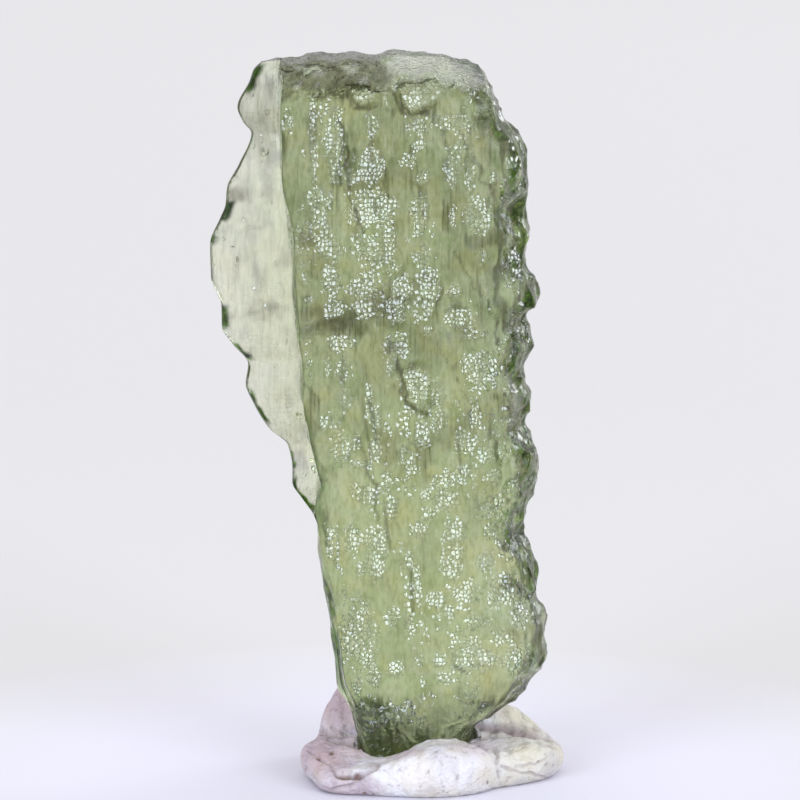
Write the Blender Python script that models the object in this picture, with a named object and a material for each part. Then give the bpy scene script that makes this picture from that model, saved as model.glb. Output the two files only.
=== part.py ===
"""A moldavite, a splinter of green natural glass, standing upright in a lump of white putty.

Two pieces: the stone, a flat sculpted slab with a thin wing along its left side, and the
putty that holds its foot. The front of the stone faces -Y. Heights, widths and depths are
in millimetres up to the last step, which writes metres.
"""

import math

import bmesh
import bpy
import numpy as np

MM = 0.001
WELD = 1e-8

# ---- the stone: heights above the surface that the putty stands on
FOOT = 0.8
CROWN = 28.4
WING_FROM, WING_FULL = 9.4, 11.6  # the wing starts low on the left side and is whole higher up

# (height, sideways place) along each side of the stone, and along the ledge between slab and wing
LEFT_SIDE = [
    (0.8, -0.95), (1.6, -1.2), (2.75, -1.5), (3.8, -2.05), (5.7, -2.22), (7.4, -2.45),
    (8.7, -2.7), (9.85, -2.87), (10.8, -3.43), (11.5, -3.83), (12.0, -3.9), (13.0, -4.22),
    (13.7, -4.73), (14.8, -5.38), (15.5, -5.65), (16.3, -5.55), (17.1, -6.15), (17.8, -6.58),
    (18.7, -6.56), (19.1, -6.66), (19.75, -7.0), (21.1, -7.06), (22.1, -6.76), (22.65, -6.46),
    (23.3, -6.43), (24.25, -6.1), (25.45, -5.4), (25.9, -5.65), (26.5, -5.8), (27.65, -5.45),
    (28.1, -5.3), (28.4, -5.0),
]
RIGHT_SIDE = [
    (0.8, 3.1), (1.5, 3.4), (2.1, 3.75), (2.8, 4.75), (4.1, 6.0), (4.75, 6.42), (5.9, 6.4),
    (6.7, 6.2), (7.2, 5.9), (8.4, 5.8), (8.9, 5.7), (9.85, 5.3), (10.4, 5.3), (11.6, 5.75),
    (12.4, 6.0), (13.5, 5.75), (14.3, 5.45), (15.25, 5.65), (16.25, 5.37), (17.4, 5.67),
    (18.35, 5.42), (19.1, 5.8), (19.9, 5.72), (20.6, 5.4), (22.1, 5.5), (22.8, 5.4),
    (23.8, 5.54), (24.9, 5.47), (25.8, 4.95), (26.4, 4.5), (27.3, 4.15), (28.1, 3.85),
    (28.4, 3.5),
]
LEDGE = [
    (0.8, -0.6), (1.9, -0.9), (3.1, -1.2), (4.1, -1.55), (6.0, -1.8), (7.7, -2.1), (9.0, -2.3),
    (10.0, -2.66), (11.4, -2.8), (11.9, -2.68), (12.6, -2.85), (13.8, -3.1), (14.4, -3.13),
    (15.5, -3.4), (16.6, -3.37), (18.2, -3.52), (19.2, -3.6), (20.7, -3.68), (22.6, -3.88),
    (24.2, -4.1), (26.1, -4.19), (28.4, -4.19),
]
# (sideways place, height) along the broken top, and where the bevel under it starts on the front
TOP_EDGE = [
    (-5.0, 28.25), (-3.6, 28.43), (-2.7, 28.58), (-2.1, 28.5), (-1.5, 28.63), (-0.6, 28.5),
    (0.2, 28.68), (0.9, 28.62), (2.1, 28.57), (2.7, 28.38), (3.5, 28.3),
]
BEVEL_START = [(-4.2, 27.2), (-2.3, 27.8), (-0.5, 27.6), (0.5, 27.8), (3.5, 27.5)]
FOOT_EDGE = [(-0.95, 0.95), (1.0, 0.8), (3.1, 0.95)]

# depths: the front is on the negative side
RIDGE_FRONT = -2.05
SHOULDER_FRONT = -1.95
FRONT_CROWN = 0.4
SLAB_BACK_LEFT, SLAB_BACK_RIGHT = 2.0, 1.85
BACK_CROWN = 0.35
RIM_DEPTH = 0.15  # depth of the right rim's furthest line
SHOULDER_WIDTH = 1.5
LEDGE_SLOPE = 0.1
WING_TIP_DEPTH = 1.1
WING_EDGE_THICK, WING_ROOT_THICK = 0.3, 1.6
WING_ROUNDING = 0.06  # share of the wing's width over which its edge rounds up
FLANK_TIP_DEPTH, FLANK_FRONT, FLANK_BACK = 0.3, -1.3, 1.6  # the left side below the wing
TOP_THICKNESS_SHARE = 0.42
FOOT_THICKNESS_SHARE = 0.62
FOOT_TAPER_HEIGHT = 3.2
BACK_ROUNDING = 0.45
BACK_ROUNDING_HEIGHT = 1.8
BOW = 0.3  # how far the two ends bend back
CAP_BULGE, CAP_BULGE_FULL = 0.1, 0.6
CALM_END = 1.2  # the relief fades towards the top and the foot over this height

# relief: shallow scallops longer than wide, upright grooves, a slow swell, and single scoops
SCALLOP_SIZE = (1.3, 1.4, 2.3)
SCALLOP_DEPTH = 0.36
GROOVE_SIZE = (0.95, 1.2, 7.0)
GROOVE_DEPTH = 0.12
SWELL_SIZE = (2.6, 2.6, 3.8)
SWELL_DEPTH = 0.14
WING_ROUGHNESS = 0.22
# scoops on the front: sideways place, height, half width, half height, depth
FRONT_SCOOPS = [
    (1.45, 27.45, 1.15, 0.75, 0.34),
    (-1.0, 27.4, 0.75, 0.6, 0.3),
    (-0.5, 22.3, 1.0, 1.5, 0.24),
    (-1.5, 25.2, 0.5, 1.1, 0.18),
    (1.2, 15.4, 0.8, 1.2, 0.36),
    (-0.8, 19.1, 0.75, 0.9, 0.24),
    (0.6, 17.5, 0.6, 0.8, 0.22),
    (2.3, 19.4, 0.5, 1.2, 0.2),
    (-1.1, 6.7, 0.5, 1.2, 0.18),
    (3.8, 6.0, 0.9, 0.75, 0.26),
    (4.0, 11.6, 0.8, 0.6, 0.22),
    (-1.2, 12.6, 0.5, 1.4, 0.18),
]
# scoops on the right rim: depth place, height, half depth, half height, depth of the scoop
RIM_SCOOPS = [
    (-1.1, 22.6, 0.9, 0.8, 0.35),
    (-1.0, 18.2, 0.9, 0.7, 0.4),
    (-0.9, 14.1, 1.0, 0.9, 0.4),
    (-1.0, 10.0, 1.1, 1.0, 0.4),
    (1.2, 24.6, 1.0, 1.1, 0.4),
    (1.3, 20.4, 1.0, 1.0, 0.45),
    (1.1, 16.3, 1.1, 0.9, 0.4),
    (1.3, 12.2, 1.0, 1.2, 0.45),
    (1.1, 7.4, 1.1, 1.0, 0.4),
]

WING_COLUMNS, LEDGE_COLUMNS, FACE_COLUMNS, RIM_COLUMNS = 7, 2, 21, 8
STONE_ROWS, CAP_ROWS = 48, 3

# ---- the putty
PUTTY_CENTRE = (1.8, 0.0)
# round the lump: (angle from +X in degrees, reach, height of the crest, crest's share of the reach)
PUTTY_ROUND = [
    (-180, 5.2, 1.5, 0.74), (-158, 5.35, 1.45, 0.76), (-140, 5.75, 1.05, 0.7),
    (-122, 5.0, 1.3, 0.62), (-108, 4.75, 1.65, 0.6), (-85, 4.6, 1.85, 0.6),
    (-62, 4.25, 1.85, 0.64), (-48, 3.9, 1.5, 0.7), (-30, 4.35, 1.5, 0.7),
    (-10, 5.0, 1.5, 0.74), (8, 5.2, 1.3, 0.7), (24, 5.15, 1.6, 0.68), (42, 4.8, 2.45, 0.66),
    (62, 4.5, 1.9, 0.62), (85, 4.4, 1.35, 0.6), (112, 4.6, 1.6, 0.6), (138, 5.4, 2.95, 0.74),
    (156, 5.3, 2.1, 0.74), (180, 5.2, 1.5, 0.74),
]
PUTTY_HOLLOW = 1.05
PUTTY_LUMP_SIZE = (2.2, 2.2, 2.0)
PUTTY_LUMP = 0.16
PUTTY_UNDERSIDE_SHARE = 0.9
PUTTY_SPOKES, PUTTY_TOP_RINGS, PUTTY_SIDE_RINGS = 52, 5, 5
FIT_GAP = 0.3

STONE_GREEN = (0.28, 0.36, 0.13, 1.0)
PUTTY_WHITE = (0.82, 0.8, 0.78, 1.0)


def curve(at, knots):
    """The value at each place of a smooth curve through (place, value) knots, with no overshoot."""
    places, values = np.array(knots, float).T
    step = np.diff(places)
    slope = np.diff(values) / step
    before, after = slope[:-1], slope[1:]
    same_way = before * after > 0
    tangent = np.zeros(len(places))
    tangent[1:-1][same_way] = (2 * before * after)[same_way] / (before + after)[same_way]
    tangent[0], tangent[-1] = slope[0], slope[-1]
    i = np.clip(np.searchsorted(places, at) - 1, 0, len(step) - 1)
    t = np.clip((at - places[i]) / step[i], 0, 1)
    start = values[i] + step[i] * tangent[i] * t * (1 - t) ** 2
    end = -step[i] * tangent[i + 1] * t**2 * (1 - t)
    return start + end + (values[i + 1] - values[i]) * t**2 * (3 - 2 * t)


def rise(value, low, high):
    """0 below low, 1 above high and a smooth step between them."""
    t = np.clip((value - low) / (high - low), 0, 1)
    return t * t * (3 - 2 * t)


def mix(a, b, share):
    return a + (b - a) * share


def scallops(points, size, seed):
    """Squared distance, in boxes, to the nearest of many scattered points, one to each box."""
    period = 16
    scattered = np.random.default_rng(seed).random((period, period, period, 3))
    where = points / np.array(size)
    box = np.floor(where).astype(int)
    nearest = np.full(points.shape[:-1], 9.0)
    for offset in np.ndindex(3, 3, 3):
        neighbour = box + np.array(offset) - 1
        i, j, k = np.moveaxis(neighbour % period, -1, 0)
        away = where - neighbour - scattered[i, j, k]
        nearest = np.minimum(nearest, (away**2).sum(-1))
    return nearest


def swell(points, size, seed):
    """Smooth noise from -1 to 1 that changes over boxes of this size."""
    period = 16
    lattice = np.random.default_rng(seed).uniform(-1, 1, (period, period, period))
    where = points / np.array(size)
    box = np.floor(where).astype(int)
    share = where - box
    share = share**2 * (3 - 2 * share)
    total = np.zeros(points.shape[:-1])
    for corner in np.ndindex(2, 2, 2):
        i, j, k = np.moveaxis((box + np.array(corner)) % period, -1, 0)
        weight = np.where(np.array(corner) == 1, share, 1 - share).prod(-1)
        total += weight * lattice[i, j, k]
    return total


def dish(across, along, half_width, half_height, depth):
    """How deep a round-bottomed scoop is at each place, 0 outside it."""
    inside = 1 - (across / half_width) ** 2 - (along / half_height) ** 2
    return depth * np.clip(inside, 0, 1)


def stone_columns():
    """Shares of the way across each stretch of the section: wing, ledge, face and rim."""
    wing = 1 - np.cos(np.linspace(0, math.pi / 2, WING_COLUMNS + 1))
    ledge = np.linspace(0, 1, LEDGE_COLUMNS + 1)[1:]
    face = np.linspace(0, 1, FACE_COLUMNS + 1)[1:]
    rim = np.linspace(0, math.pi / 2, RIM_COLUMNS + 1)[1:]
    return wing, ledge, face, rim


def stone_sheets(z):
    """Sideways place, front and back depth, roughness and share of slab at each height and column.

    Each row is a level cut through the stone. It runs from the left edge over the wing, up
    the ledge, over the slab's face, and round a quarter of an ellipse to the right rim.
    """
    z = z[:, None]
    wing, ledge, face, rim = stone_columns()
    has_wing = rise(z, WING_FROM, WING_FULL)
    left, right, ridge = curve(z, LEFT_SIDE), curve(z, RIGHT_SIDE), curve(z, LEDGE)
    root = mix(mix(left, ridge, 0.45), ridge - LEDGE_SLOPE, has_wing)
    shoulder = np.maximum(right - SHOULDER_WIDTH, mix(ridge, right, 0.5))

    tip_depth = mix(FLANK_TIP_DEPTH, WING_TIP_DEPTH, has_wing)
    root_back = mix(FLANK_BACK, SLAB_BACK_LEFT, has_wing)
    root_front = mix(FLANK_FRONT, SLAB_BACK_LEFT - WING_ROOT_THICK, has_wing)
    rounded = np.sin(wing * math.pi / 2)
    thick = WING_EDGE_THICK * np.sqrt(np.clip(wing / WING_ROUNDING, 0, 1))
    thick = thick + (WING_ROOT_THICK - WING_EDGE_THICK) * wing**1.2

    wing_back = mix(tip_depth, root_back, mix(rounded, wing, has_wing))
    wing_front = mix(mix(tip_depth, root_front, rounded), wing_back - thick, has_wing)
    face_bulge = 4 * face * (1 - face)
    across = [mix(left, root, wing), mix(root, ridge, ledge), mix(ridge, shoulder, face)]
    across.append(mix(shoulder, right, np.sin(rim)))
    front = [wing_front, mix(root_front, RIDGE_FRONT, ledge)]
    front.append(mix(RIDGE_FRONT, SHOULDER_FRONT, face) - FRONT_CROWN * face_bulge)
    front.append(mix(RIM_DEPTH, SHOULDER_FRONT, np.cos(rim)))
    back = [wing_back, mix(root_back, SLAB_BACK_LEFT, ledge)]
    back.append(mix(SLAB_BACK_LEFT, SLAB_BACK_RIGHT, face) + BACK_CROWN * face_bulge)
    back.append(mix(RIM_DEPTH, SLAB_BACK_RIGHT, np.cos(rim)))
    smooth_wing = mix(1.0, WING_ROUGHNESS * wing, has_wing)
    rough = [smooth_wing, mix(smooth_wing[:, -1:], 1.0, ledge), face * 0 + 1.0, rim * 0 + 1.0]
    on_slab = [1 - has_wing + wing * 0, mix(1 - has_wing, 1.0, ledge), face * 0 + 1.0, rim * 0 + 1.0]

    def joined(stretches):
        return np.hstack([np.broadcast_to(s, (len(z), s.shape[-1])) for s in stretches])

    return joined(across), joined(front), joined(back), joined(rough), joined(on_slab)


def stone_surface():
    """The smooth stone as two grids of points, front and back, with the roughness of each."""
    z = np.linspace(FOOT, CROWN, STONE_ROWS + 1)
    x, front, back, rough, on_slab = stone_sheets(z)
    z = np.broadcast_to(z[:, None], x.shape)
    z = z + rise(z, CROWN - 2.5, CROWN) * (curve(x, TOP_EDGE) - CROWN)
    z = z + rise(-z, -FOOT - 1.5, -FOOT) * (curve(x, FOOT_EDGE) - FOOT)
    top = curve(x, TOP_EDGE)
    bevel = np.clip((top - z) / (top - curve(x, BEVEL_START)), 0, 1)
    foot = mix(FOOT_THICKNESS_SHARE, 1.0, rise(z, FOOT - 1.5, FOOT + FOOT_TAPER_HEIGHT))
    middle = (front + back) / 2
    half = (back - front) / 2 * foot
    near_top = np.clip(1 - (top - z) / BACK_ROUNDING_HEIGHT, 0, 1)
    rounding = BACK_ROUNDING * near_top**2 * np.clip(half, 0, 1)
    bow = BOW * ((z - (FOOT + CROWN) / 2) / (CROWN / 2)) ** 2
    back = middle + half + bow
    front = back - 2 * half * mix(1.0, mix(TOP_THICKNESS_SHARE, 1.0, bevel), on_slab)
    back = back - rounding
    rough = rough * mix(0.25, 1.0, rise(z, FOOT, FOOT + CALM_END))
    rough = rough * mix(0.25, 1.0, rise(-z, -CROWN, CALM_END - CROWN))
    return np.stack([x, front, z], -1), np.stack([x, back, z], -1), rough


def relief(points, normals, rough):
    """How far the sculpted surface stands out from the smooth one at each point."""
    x, y, z = np.moveaxis(points, -1, 0)
    facing_front = np.clip(-normals[..., 1], 0, 1)
    facing_right = np.clip(normals[..., 0], 0, 1)
    out = SCALLOP_DEPTH * (np.clip(scallops(points, SCALLOP_SIZE, 7), 0, 1) - 0.45)
    out = out + GROOVE_DEPTH * swell(points, GROOVE_SIZE, 11)
    out = out + SWELL_DEPTH * swell(points, SWELL_SIZE, 3)
    for scoop_x, scoop_z, *size in FRONT_SCOOPS:
        out = out - facing_front * dish(x - scoop_x, z - scoop_z, *size)
    for scoop_y, scoop_z, *size in RIM_SCOOPS:
        out = out - facing_right * dish(y - scoop_y, z - scoop_z, *size)
    return out * rough


def closed_grid(front, back, rough):
    """One ring of rows round the stone: up the front, over the top, down the back, under the foot."""
    shares = np.linspace(0, 1, CAP_ROWS + 1)[1:-1, None, None]

    def cap(edge_from, edge_to, lift):
        thick = np.linalg.norm(edge_to - edge_from, axis=-1)
        bulge = np.zeros(edge_from.shape)
        bulge[:, 2] = lift * np.clip(thick / CAP_BULGE_FULL, 0, 1)
        return mix(edge_from, edge_to, shares) + bulge * np.sin(math.pi * shares)

    over = cap(front[-1], back[-1], CAP_BULGE)
    under = cap(back[0], front[0], -CAP_BULGE)
    ring = np.concatenate([front, over, back[::-1], under])
    ends = np.zeros((len(shares), rough.shape[1]))
    return ring, np.concatenate([rough, ends, rough[::-1], ends])


def mesh_object(name, bm, colour, roughness):
    mesh = bpy.data.meshes.new(name)
    bm.to_mesh(mesh)
    bm.free()
    material = bpy.data.materials.new(name)
    material.use_nodes = True
    shader = material.node_tree.nodes["Principled BSDF"]
    shader.inputs["Base Color"].default_value = colour
    shader.inputs["Roughness"].default_value = roughness
    mesh.materials.append(material)
    made = bpy.data.objects.new(name, mesh)
    bpy.context.scene.collection.objects.link(made)
    return made


def stone_bmesh(outward):
    """The stone's closed mesh. With outward above 0, the smooth stone grown by that much."""
    front, back, rough = stone_surface()
    ring, rough = closed_grid(front, back, rough)
    rows, columns, _ = ring.shape
    bm = bmesh.new()
    verts = [bm.verts.new(p * MM) for p in ring.reshape(-1, 3)]
    weight = dict(zip(verts, rough.ravel()))
    for row in range(rows):
        above = (row + 1) % rows
        for column in range(columns - 1):
            corners = (
                verts[row * columns + column],
                verts[row * columns + column + 1],
                verts[above * columns + column + 1],
                verts[above * columns + column],
            )
            bm.faces.new(corners)
    bmesh.ops.remove_doubles(bm, verts=bm.verts, dist=WELD)
    bmesh.ops.dissolve_degenerate(bm, edges=bm.edges, dist=WELD)
    bmesh.ops.recalc_face_normals(bm, faces=bm.faces)
    bm.normal_update()
    kept = list(bm.verts)
    points = np.array([v.co for v in kept]) / MM
    normals = np.array([v.normal for v in kept])
    if outward:
        out = np.full(len(kept), outward)
    else:
        out = relief(points, normals, np.array([weight[v] for v in kept]))
    for vert, distance in zip(kept, out):
        vert.co += vert.normal * float(distance) * MM
    return bm


def putty_bmesh():
    """The putty: a flat-bottomed ring of kneaded lumps round a shallow hollow."""
    angle = np.linspace(-180, 180, PUTTY_SPOKES, endpoint=False)[None, :]
    reach = curve(angle, [(a, far) for a, far, _, _ in PUTTY_ROUND])
    crest = curve(angle, [(a, height) for a, _, height, _ in PUTTY_ROUND])
    crest_at = curve(angle, [(a, share) for a, _, _, share in PUTTY_ROUND])
    inner = np.linspace(0, 1, PUTTY_TOP_RINGS + 1)[1:, None]
    outer = np.linspace(0, math.pi, PUTTY_SIDE_RINGS + 2)[1:, None]
    share_in = inner * crest_at
    height_in = mix(PUTTY_HOLLOW, crest, rise(inner, 0.2, 1.0))
    round_side = np.sin(outer)
    share_out = crest_at + (1 - crest_at) * round_side**0.8
    tucked = mix(PUTTY_UNDERSIDE_SHARE, 1, round_side)
    share_out = np.where(outer > math.pi / 2, tucked, share_out)
    height_out = crest * (1 + np.cos(outer)) / 2
    share = np.concatenate([share_in, share_out])
    height = np.concatenate([height_in, height_out])
    turn = np.radians(angle)
    x = PUTTY_CENTRE[0] + share * reach * np.cos(turn)
    y = PUTTY_CENTRE[1] + share * reach * np.sin(turn)
    points = np.stack([x, y, height], -1)
    lumps = PUTTY_LUMP * swell(points, PUTTY_LUMP_SIZE, 5)
    points[..., 2] += lumps * rise(height, 0.0, 1.0)
    points[-1, :, 2] = 0.0

    bm = bmesh.new()
    centre = bm.verts.new((PUTTY_CENTRE[0] * MM, PUTTY_CENTRE[1] * MM, PUTTY_HOLLOW * MM))
    rings = [[bm.verts.new(p * MM) for p in ring] for ring in points]
    for spoke in range(PUTTY_SPOKES):
        after = (spoke + 1) % PUTTY_SPOKES
        bm.faces.new((centre, rings[0][spoke], rings[0][after]))
        for inside, outside in zip(rings[:-1], rings[1:]):
            bm.faces.new((inside[spoke], outside[spoke], outside[after], inside[after]))
    bm.faces.new(rings[-1])
    bmesh.ops.recalc_face_normals(bm, faces=bm.faces)
    return bm


def make_stone():
    stone = mesh_object("moldavite", stone_bmesh(0), STONE_GREEN, 0.25)
    stone.data.shade_smooth()
    return stone


def make_putty():
    """The lump, with a socket cut for the stone's foot that leaves the fit gap round it."""
    putty = mesh_object("putty_stand", putty_bmesh(), PUTTY_WHITE, 0.85)
    putty.data.shade_smooth()
    cutter = mesh_object("foot_cutter", stone_bmesh(FIT_GAP), STONE_GREEN, 0.25)
    cutter.hide_render = True
    cutter.display_type = "WIRE"
    socket = putty.modifiers.new("socket", "BOOLEAN")
    socket.object = cutter
    socket.operation = "DIFFERENCE"
    socket.solver = "EXACT"
    return putty


def main():
    for old in list(bpy.data.objects):
        bpy.data.objects.remove(old)
    make_stone()
    make_putty()


main()
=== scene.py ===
import math

import bmesh
import bpy
import numpy as np
from bpy.props import FloatProperty, FloatVectorProperty, PointerProperty
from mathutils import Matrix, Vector


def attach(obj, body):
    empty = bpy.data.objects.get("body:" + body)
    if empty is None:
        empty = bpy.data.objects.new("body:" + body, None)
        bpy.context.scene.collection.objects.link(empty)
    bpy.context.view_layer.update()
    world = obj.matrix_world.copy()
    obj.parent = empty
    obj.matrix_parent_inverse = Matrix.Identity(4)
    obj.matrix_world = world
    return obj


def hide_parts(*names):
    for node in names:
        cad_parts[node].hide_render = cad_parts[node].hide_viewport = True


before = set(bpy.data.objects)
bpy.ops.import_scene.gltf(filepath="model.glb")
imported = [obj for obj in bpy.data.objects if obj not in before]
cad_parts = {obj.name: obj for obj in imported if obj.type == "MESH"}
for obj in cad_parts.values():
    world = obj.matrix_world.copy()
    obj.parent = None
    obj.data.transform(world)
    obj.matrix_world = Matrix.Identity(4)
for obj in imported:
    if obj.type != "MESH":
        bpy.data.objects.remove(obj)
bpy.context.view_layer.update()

bl_info = {
    "name": "Moldavite in putty",
    "version": (1, 0, 0),
    "blender": (4, 5, 0),
    "location": "View3D > Sidebar > Moldavite",
    "description": "A sculpted slab of green natural glass standing in a lump of white putty",
    "category": "Add Mesh",
}

MM = 0.001
WELD = 1e-8  # points nearer than this, in metres, are one
PERIOD = 16  # boxes after which the lattice noises repeat
FAR = 9.0  # further than anything measured, in boxes or millimetres

# ---- outlines of the stone, in millimetres: (height, sideways place) for the sides and the
# ledge, (sideways place, height) for the ends
FOOT, CROWN = 0.8, 28.4
WING_FROM, WING_FULL = 9.0, 10.8
LEFT_SIDE = [
    (0.8, -0.95), (1.6, -1.2), (2.75, -1.5), (3.8, -2.05), (5.7, -2.22), (7.4, -2.45), (8.7, -2.7),
    (9.85, -2.78), (10.8, -3.43), (11.5, -3.83), (12.0, -3.82), (13.0, -4.0), (13.7, -4.73),
    (14.8, -5.38), (15.5, -5.65), (16.3, -5.55), (17.1, -6.15), (17.8, -6.58), (18.7, -6.6),
    (19.1, -6.75), (19.75, -7.0), (21.1, -7.03), (22.1, -6.64), (22.65, -6.42), (23.3, -6.36),
    (24.25, -5.88), (25.45, -5.4), (25.9, -5.72), (26.5, -5.94), (27.65, -5.45), (28.1, -5.3),
    (28.4, -5.0),
]
RIGHT_SIDE = [
    (0.8, 3.1), (1.5, 3.4), (2.1, 3.75), (2.8, 4.92), (4.1, 6.06), (4.75, 6.45), (5.9, 6.43),
    (6.7, 6.24), (7.2, 6.0), (8.4, 5.92), (8.9, 5.72), (9.85, 5.3), (10.4, 5.3), (11.6, 5.8),
    (12.4, 6.06), (13.5, 5.85), (14.3, 5.45), (15.25, 5.62), (16.25, 5.37), (17.4, 5.78),
    (18.35, 5.6), (19.1, 6.02), (19.9, 5.84), (20.6, 5.4), (22.1, 5.44), (22.8, 5.4), (23.8, 5.58),
    (24.9, 5.43), (25.8, 4.87), (26.4, 4.5), (27.3, 4.15), (28.1, 3.85), (28.4, 3.5),
]
LEDGE = [
    (0.8, -0.7), (1.9, -1.05), (3.1, -1.42), (4.1, -1.85), (6.0, -2.02), (7.7, -2.27), (9.0, -2.48),
    (10.0, -2.68), (11.4, -2.8), (11.9, -2.68), (12.6, -2.85), (13.8, -3.1), (14.4, -3.13),
    (15.5, -3.4), (16.6, -3.37), (18.2, -3.52), (19.2, -3.6), (20.7, -3.68), (22.6, -3.88),
    (24.2, -4.1), (26.1, -4.19), (28.4, -4.19),
]
TOP_EDGE = [
    (-5.0, 28.25), (-3.6, 28.43), (-2.7, 28.58), (-2.1, 28.5), (-1.5, 28.63), (-0.6, 28.5),
    (0.2, 28.68), (0.9, 28.62), (2.1, 28.57), (2.7, 28.38), (3.5, 28.3),
]
BEVEL_START = [
    (-4.2, 27.1), (-2.7, 27.45), (-1.7, 27.85), (-0.3, 27.8), (0.3, 27.98), (2.4, 27.95),
    (3.5, 27.5),
]
FOOT_EDGE = [(-0.95, 0.95), (1.0, 0.8), (3.1, 0.95)]

# ---- depths of the stone; the front is on the negative side
RIDGE_FRONT, SHOULDER_FRONT, FRONT_CROWN = -2.05, -1.95, 0.4
SLAB_BACK_LEFT, SLAB_BACK_RIGHT, BACK_CROWN = 2.0, 1.85, 0.35
RIM_DEPTH, SHOULDER_WIDTH, LEDGE_SLOPE = 0.15, 1.5, 0.1
WING_LEAN, WING_EDGE_THICK, WING_ROOT_THICK, WING_ROUNDING = 0.9, 0.3, 1.6, 0.06
# width that makes the wing thick, and the powers that shape its thickness and its columns
WING_WIDE, WING_SWELLING, WING_BUNCHING = 1.6, 1.2, 1.5
FLANK_TIP_DEPTH, FLANK_FRONT, FLANK_BACK = -0.9, -1.65, 1.6
TOP_SHARE_LEFT, TOP_SHARE_RIGHT, TOP_BLEND = 0.68, 0.42, 2.5
TOP_HALVES = (-0.4, 0.4)  # where the broken top's left part turns into its right part
FOOT_THICKNESS_SHARE, FOOT_TAPER_HEIGHT, FOOT_BLEND = 0.62, 3.2, 1.5
BACK_ROUNDING, BACK_ROUNDING_HEIGHT = 0.45, 1.8
BOW = 0.3
CAP_BULGE, CAP_BULGE_FULL = 0.1, 0.6
CALM_END, CALM_SHARE = 1.2, 0.25  # the relief is weaker within this distance of the ends

WING_COLUMNS, LEDGE_COLUMNS, FACE_COLUMNS, RIM_COLUMNS = 40, 12, 108, 40
FRONT_COLUMNS = WING_COLUMNS + LEDGE_COLUMNS + FACE_COLUMNS + RIM_COLUMNS
STONE_ROWS, CAP_ROWS = 300, 7

# ---- relief of the stone
LEAN = -0.062  # sideways run of the flow lines for each millimetre of height
SCALLOP_SIZE, SCALLOP_SEED, SCALLOP_MEAN = (1.3, 1.4, 2.3), 7, 0.45
GROOVE_SIZE, GROOVE_DEPTH = (0.95, 1.2, 7.0), 0.07
SWELL_SIZE, SWELL_DEPTH = (2.6, 2.6, 3.8), 0.1
RAGGED_SIZE, RAGGED_DEPTH = (0.6, 0.5, 0.4), 0.24
RIM_KNOB_SIZE, RIM_KNOB_DEPTH = (0.75, 0.75, 0.7), 0.27
FINE_SCALLOP_SIZE, FINE_SCALLOP_DEPTH = (0.5, 0.6, 0.95), 0.05
FINE_GROOVE_SIZE, FINE_GROOVE_DEPTH = (0.28, 0.6, 3.0), 0.02
WING_ROUGHNESS = 0.22
# scoops: sideways place (front) or place from front to back (right side), height, half width,
# half height, depth
FRONT_SCOOPS = [
    (-0.5, 22.3, 1.0, 1.5, 0.12), (-1.5, 25.2, 0.5, 1.1, 0.08), (-0.8, 19.1, 0.75, 0.9, 0.12),
    (0.6, 17.5, 0.6, 0.8, 0.1), (2.3, 19.4, 0.5, 1.2, 0.1), (-1.1, 6.7, 0.5, 1.2, 0.1),
    (3.8, 6.0, 0.9, 0.75, 0.14), (4.0, 11.6, 0.8, 0.6, 0.12), (-1.2, 12.6, 0.5, 1.4, 0.08),
]
RIM_SCOOPS = [
    (-1.1, 22.6, 0.9, 0.8, 0.35), (-1.0, 18.2, 0.9, 0.7, 0.4), (-0.9, 14.1, 1.0, 0.9, 0.4),
    (-1.0, 10.0, 1.1, 1.0, 0.2), (1.2, 24.6, 1.0, 1.1, 0.4), (1.3, 20.4, 1.0, 1.0, 0.45),
    (1.1, 16.3, 1.1, 0.9, 0.4), (1.3, 12.2, 1.0, 1.2, 0.45), (1.1, 7.4, 1.1, 1.0, 0.4),
]
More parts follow.
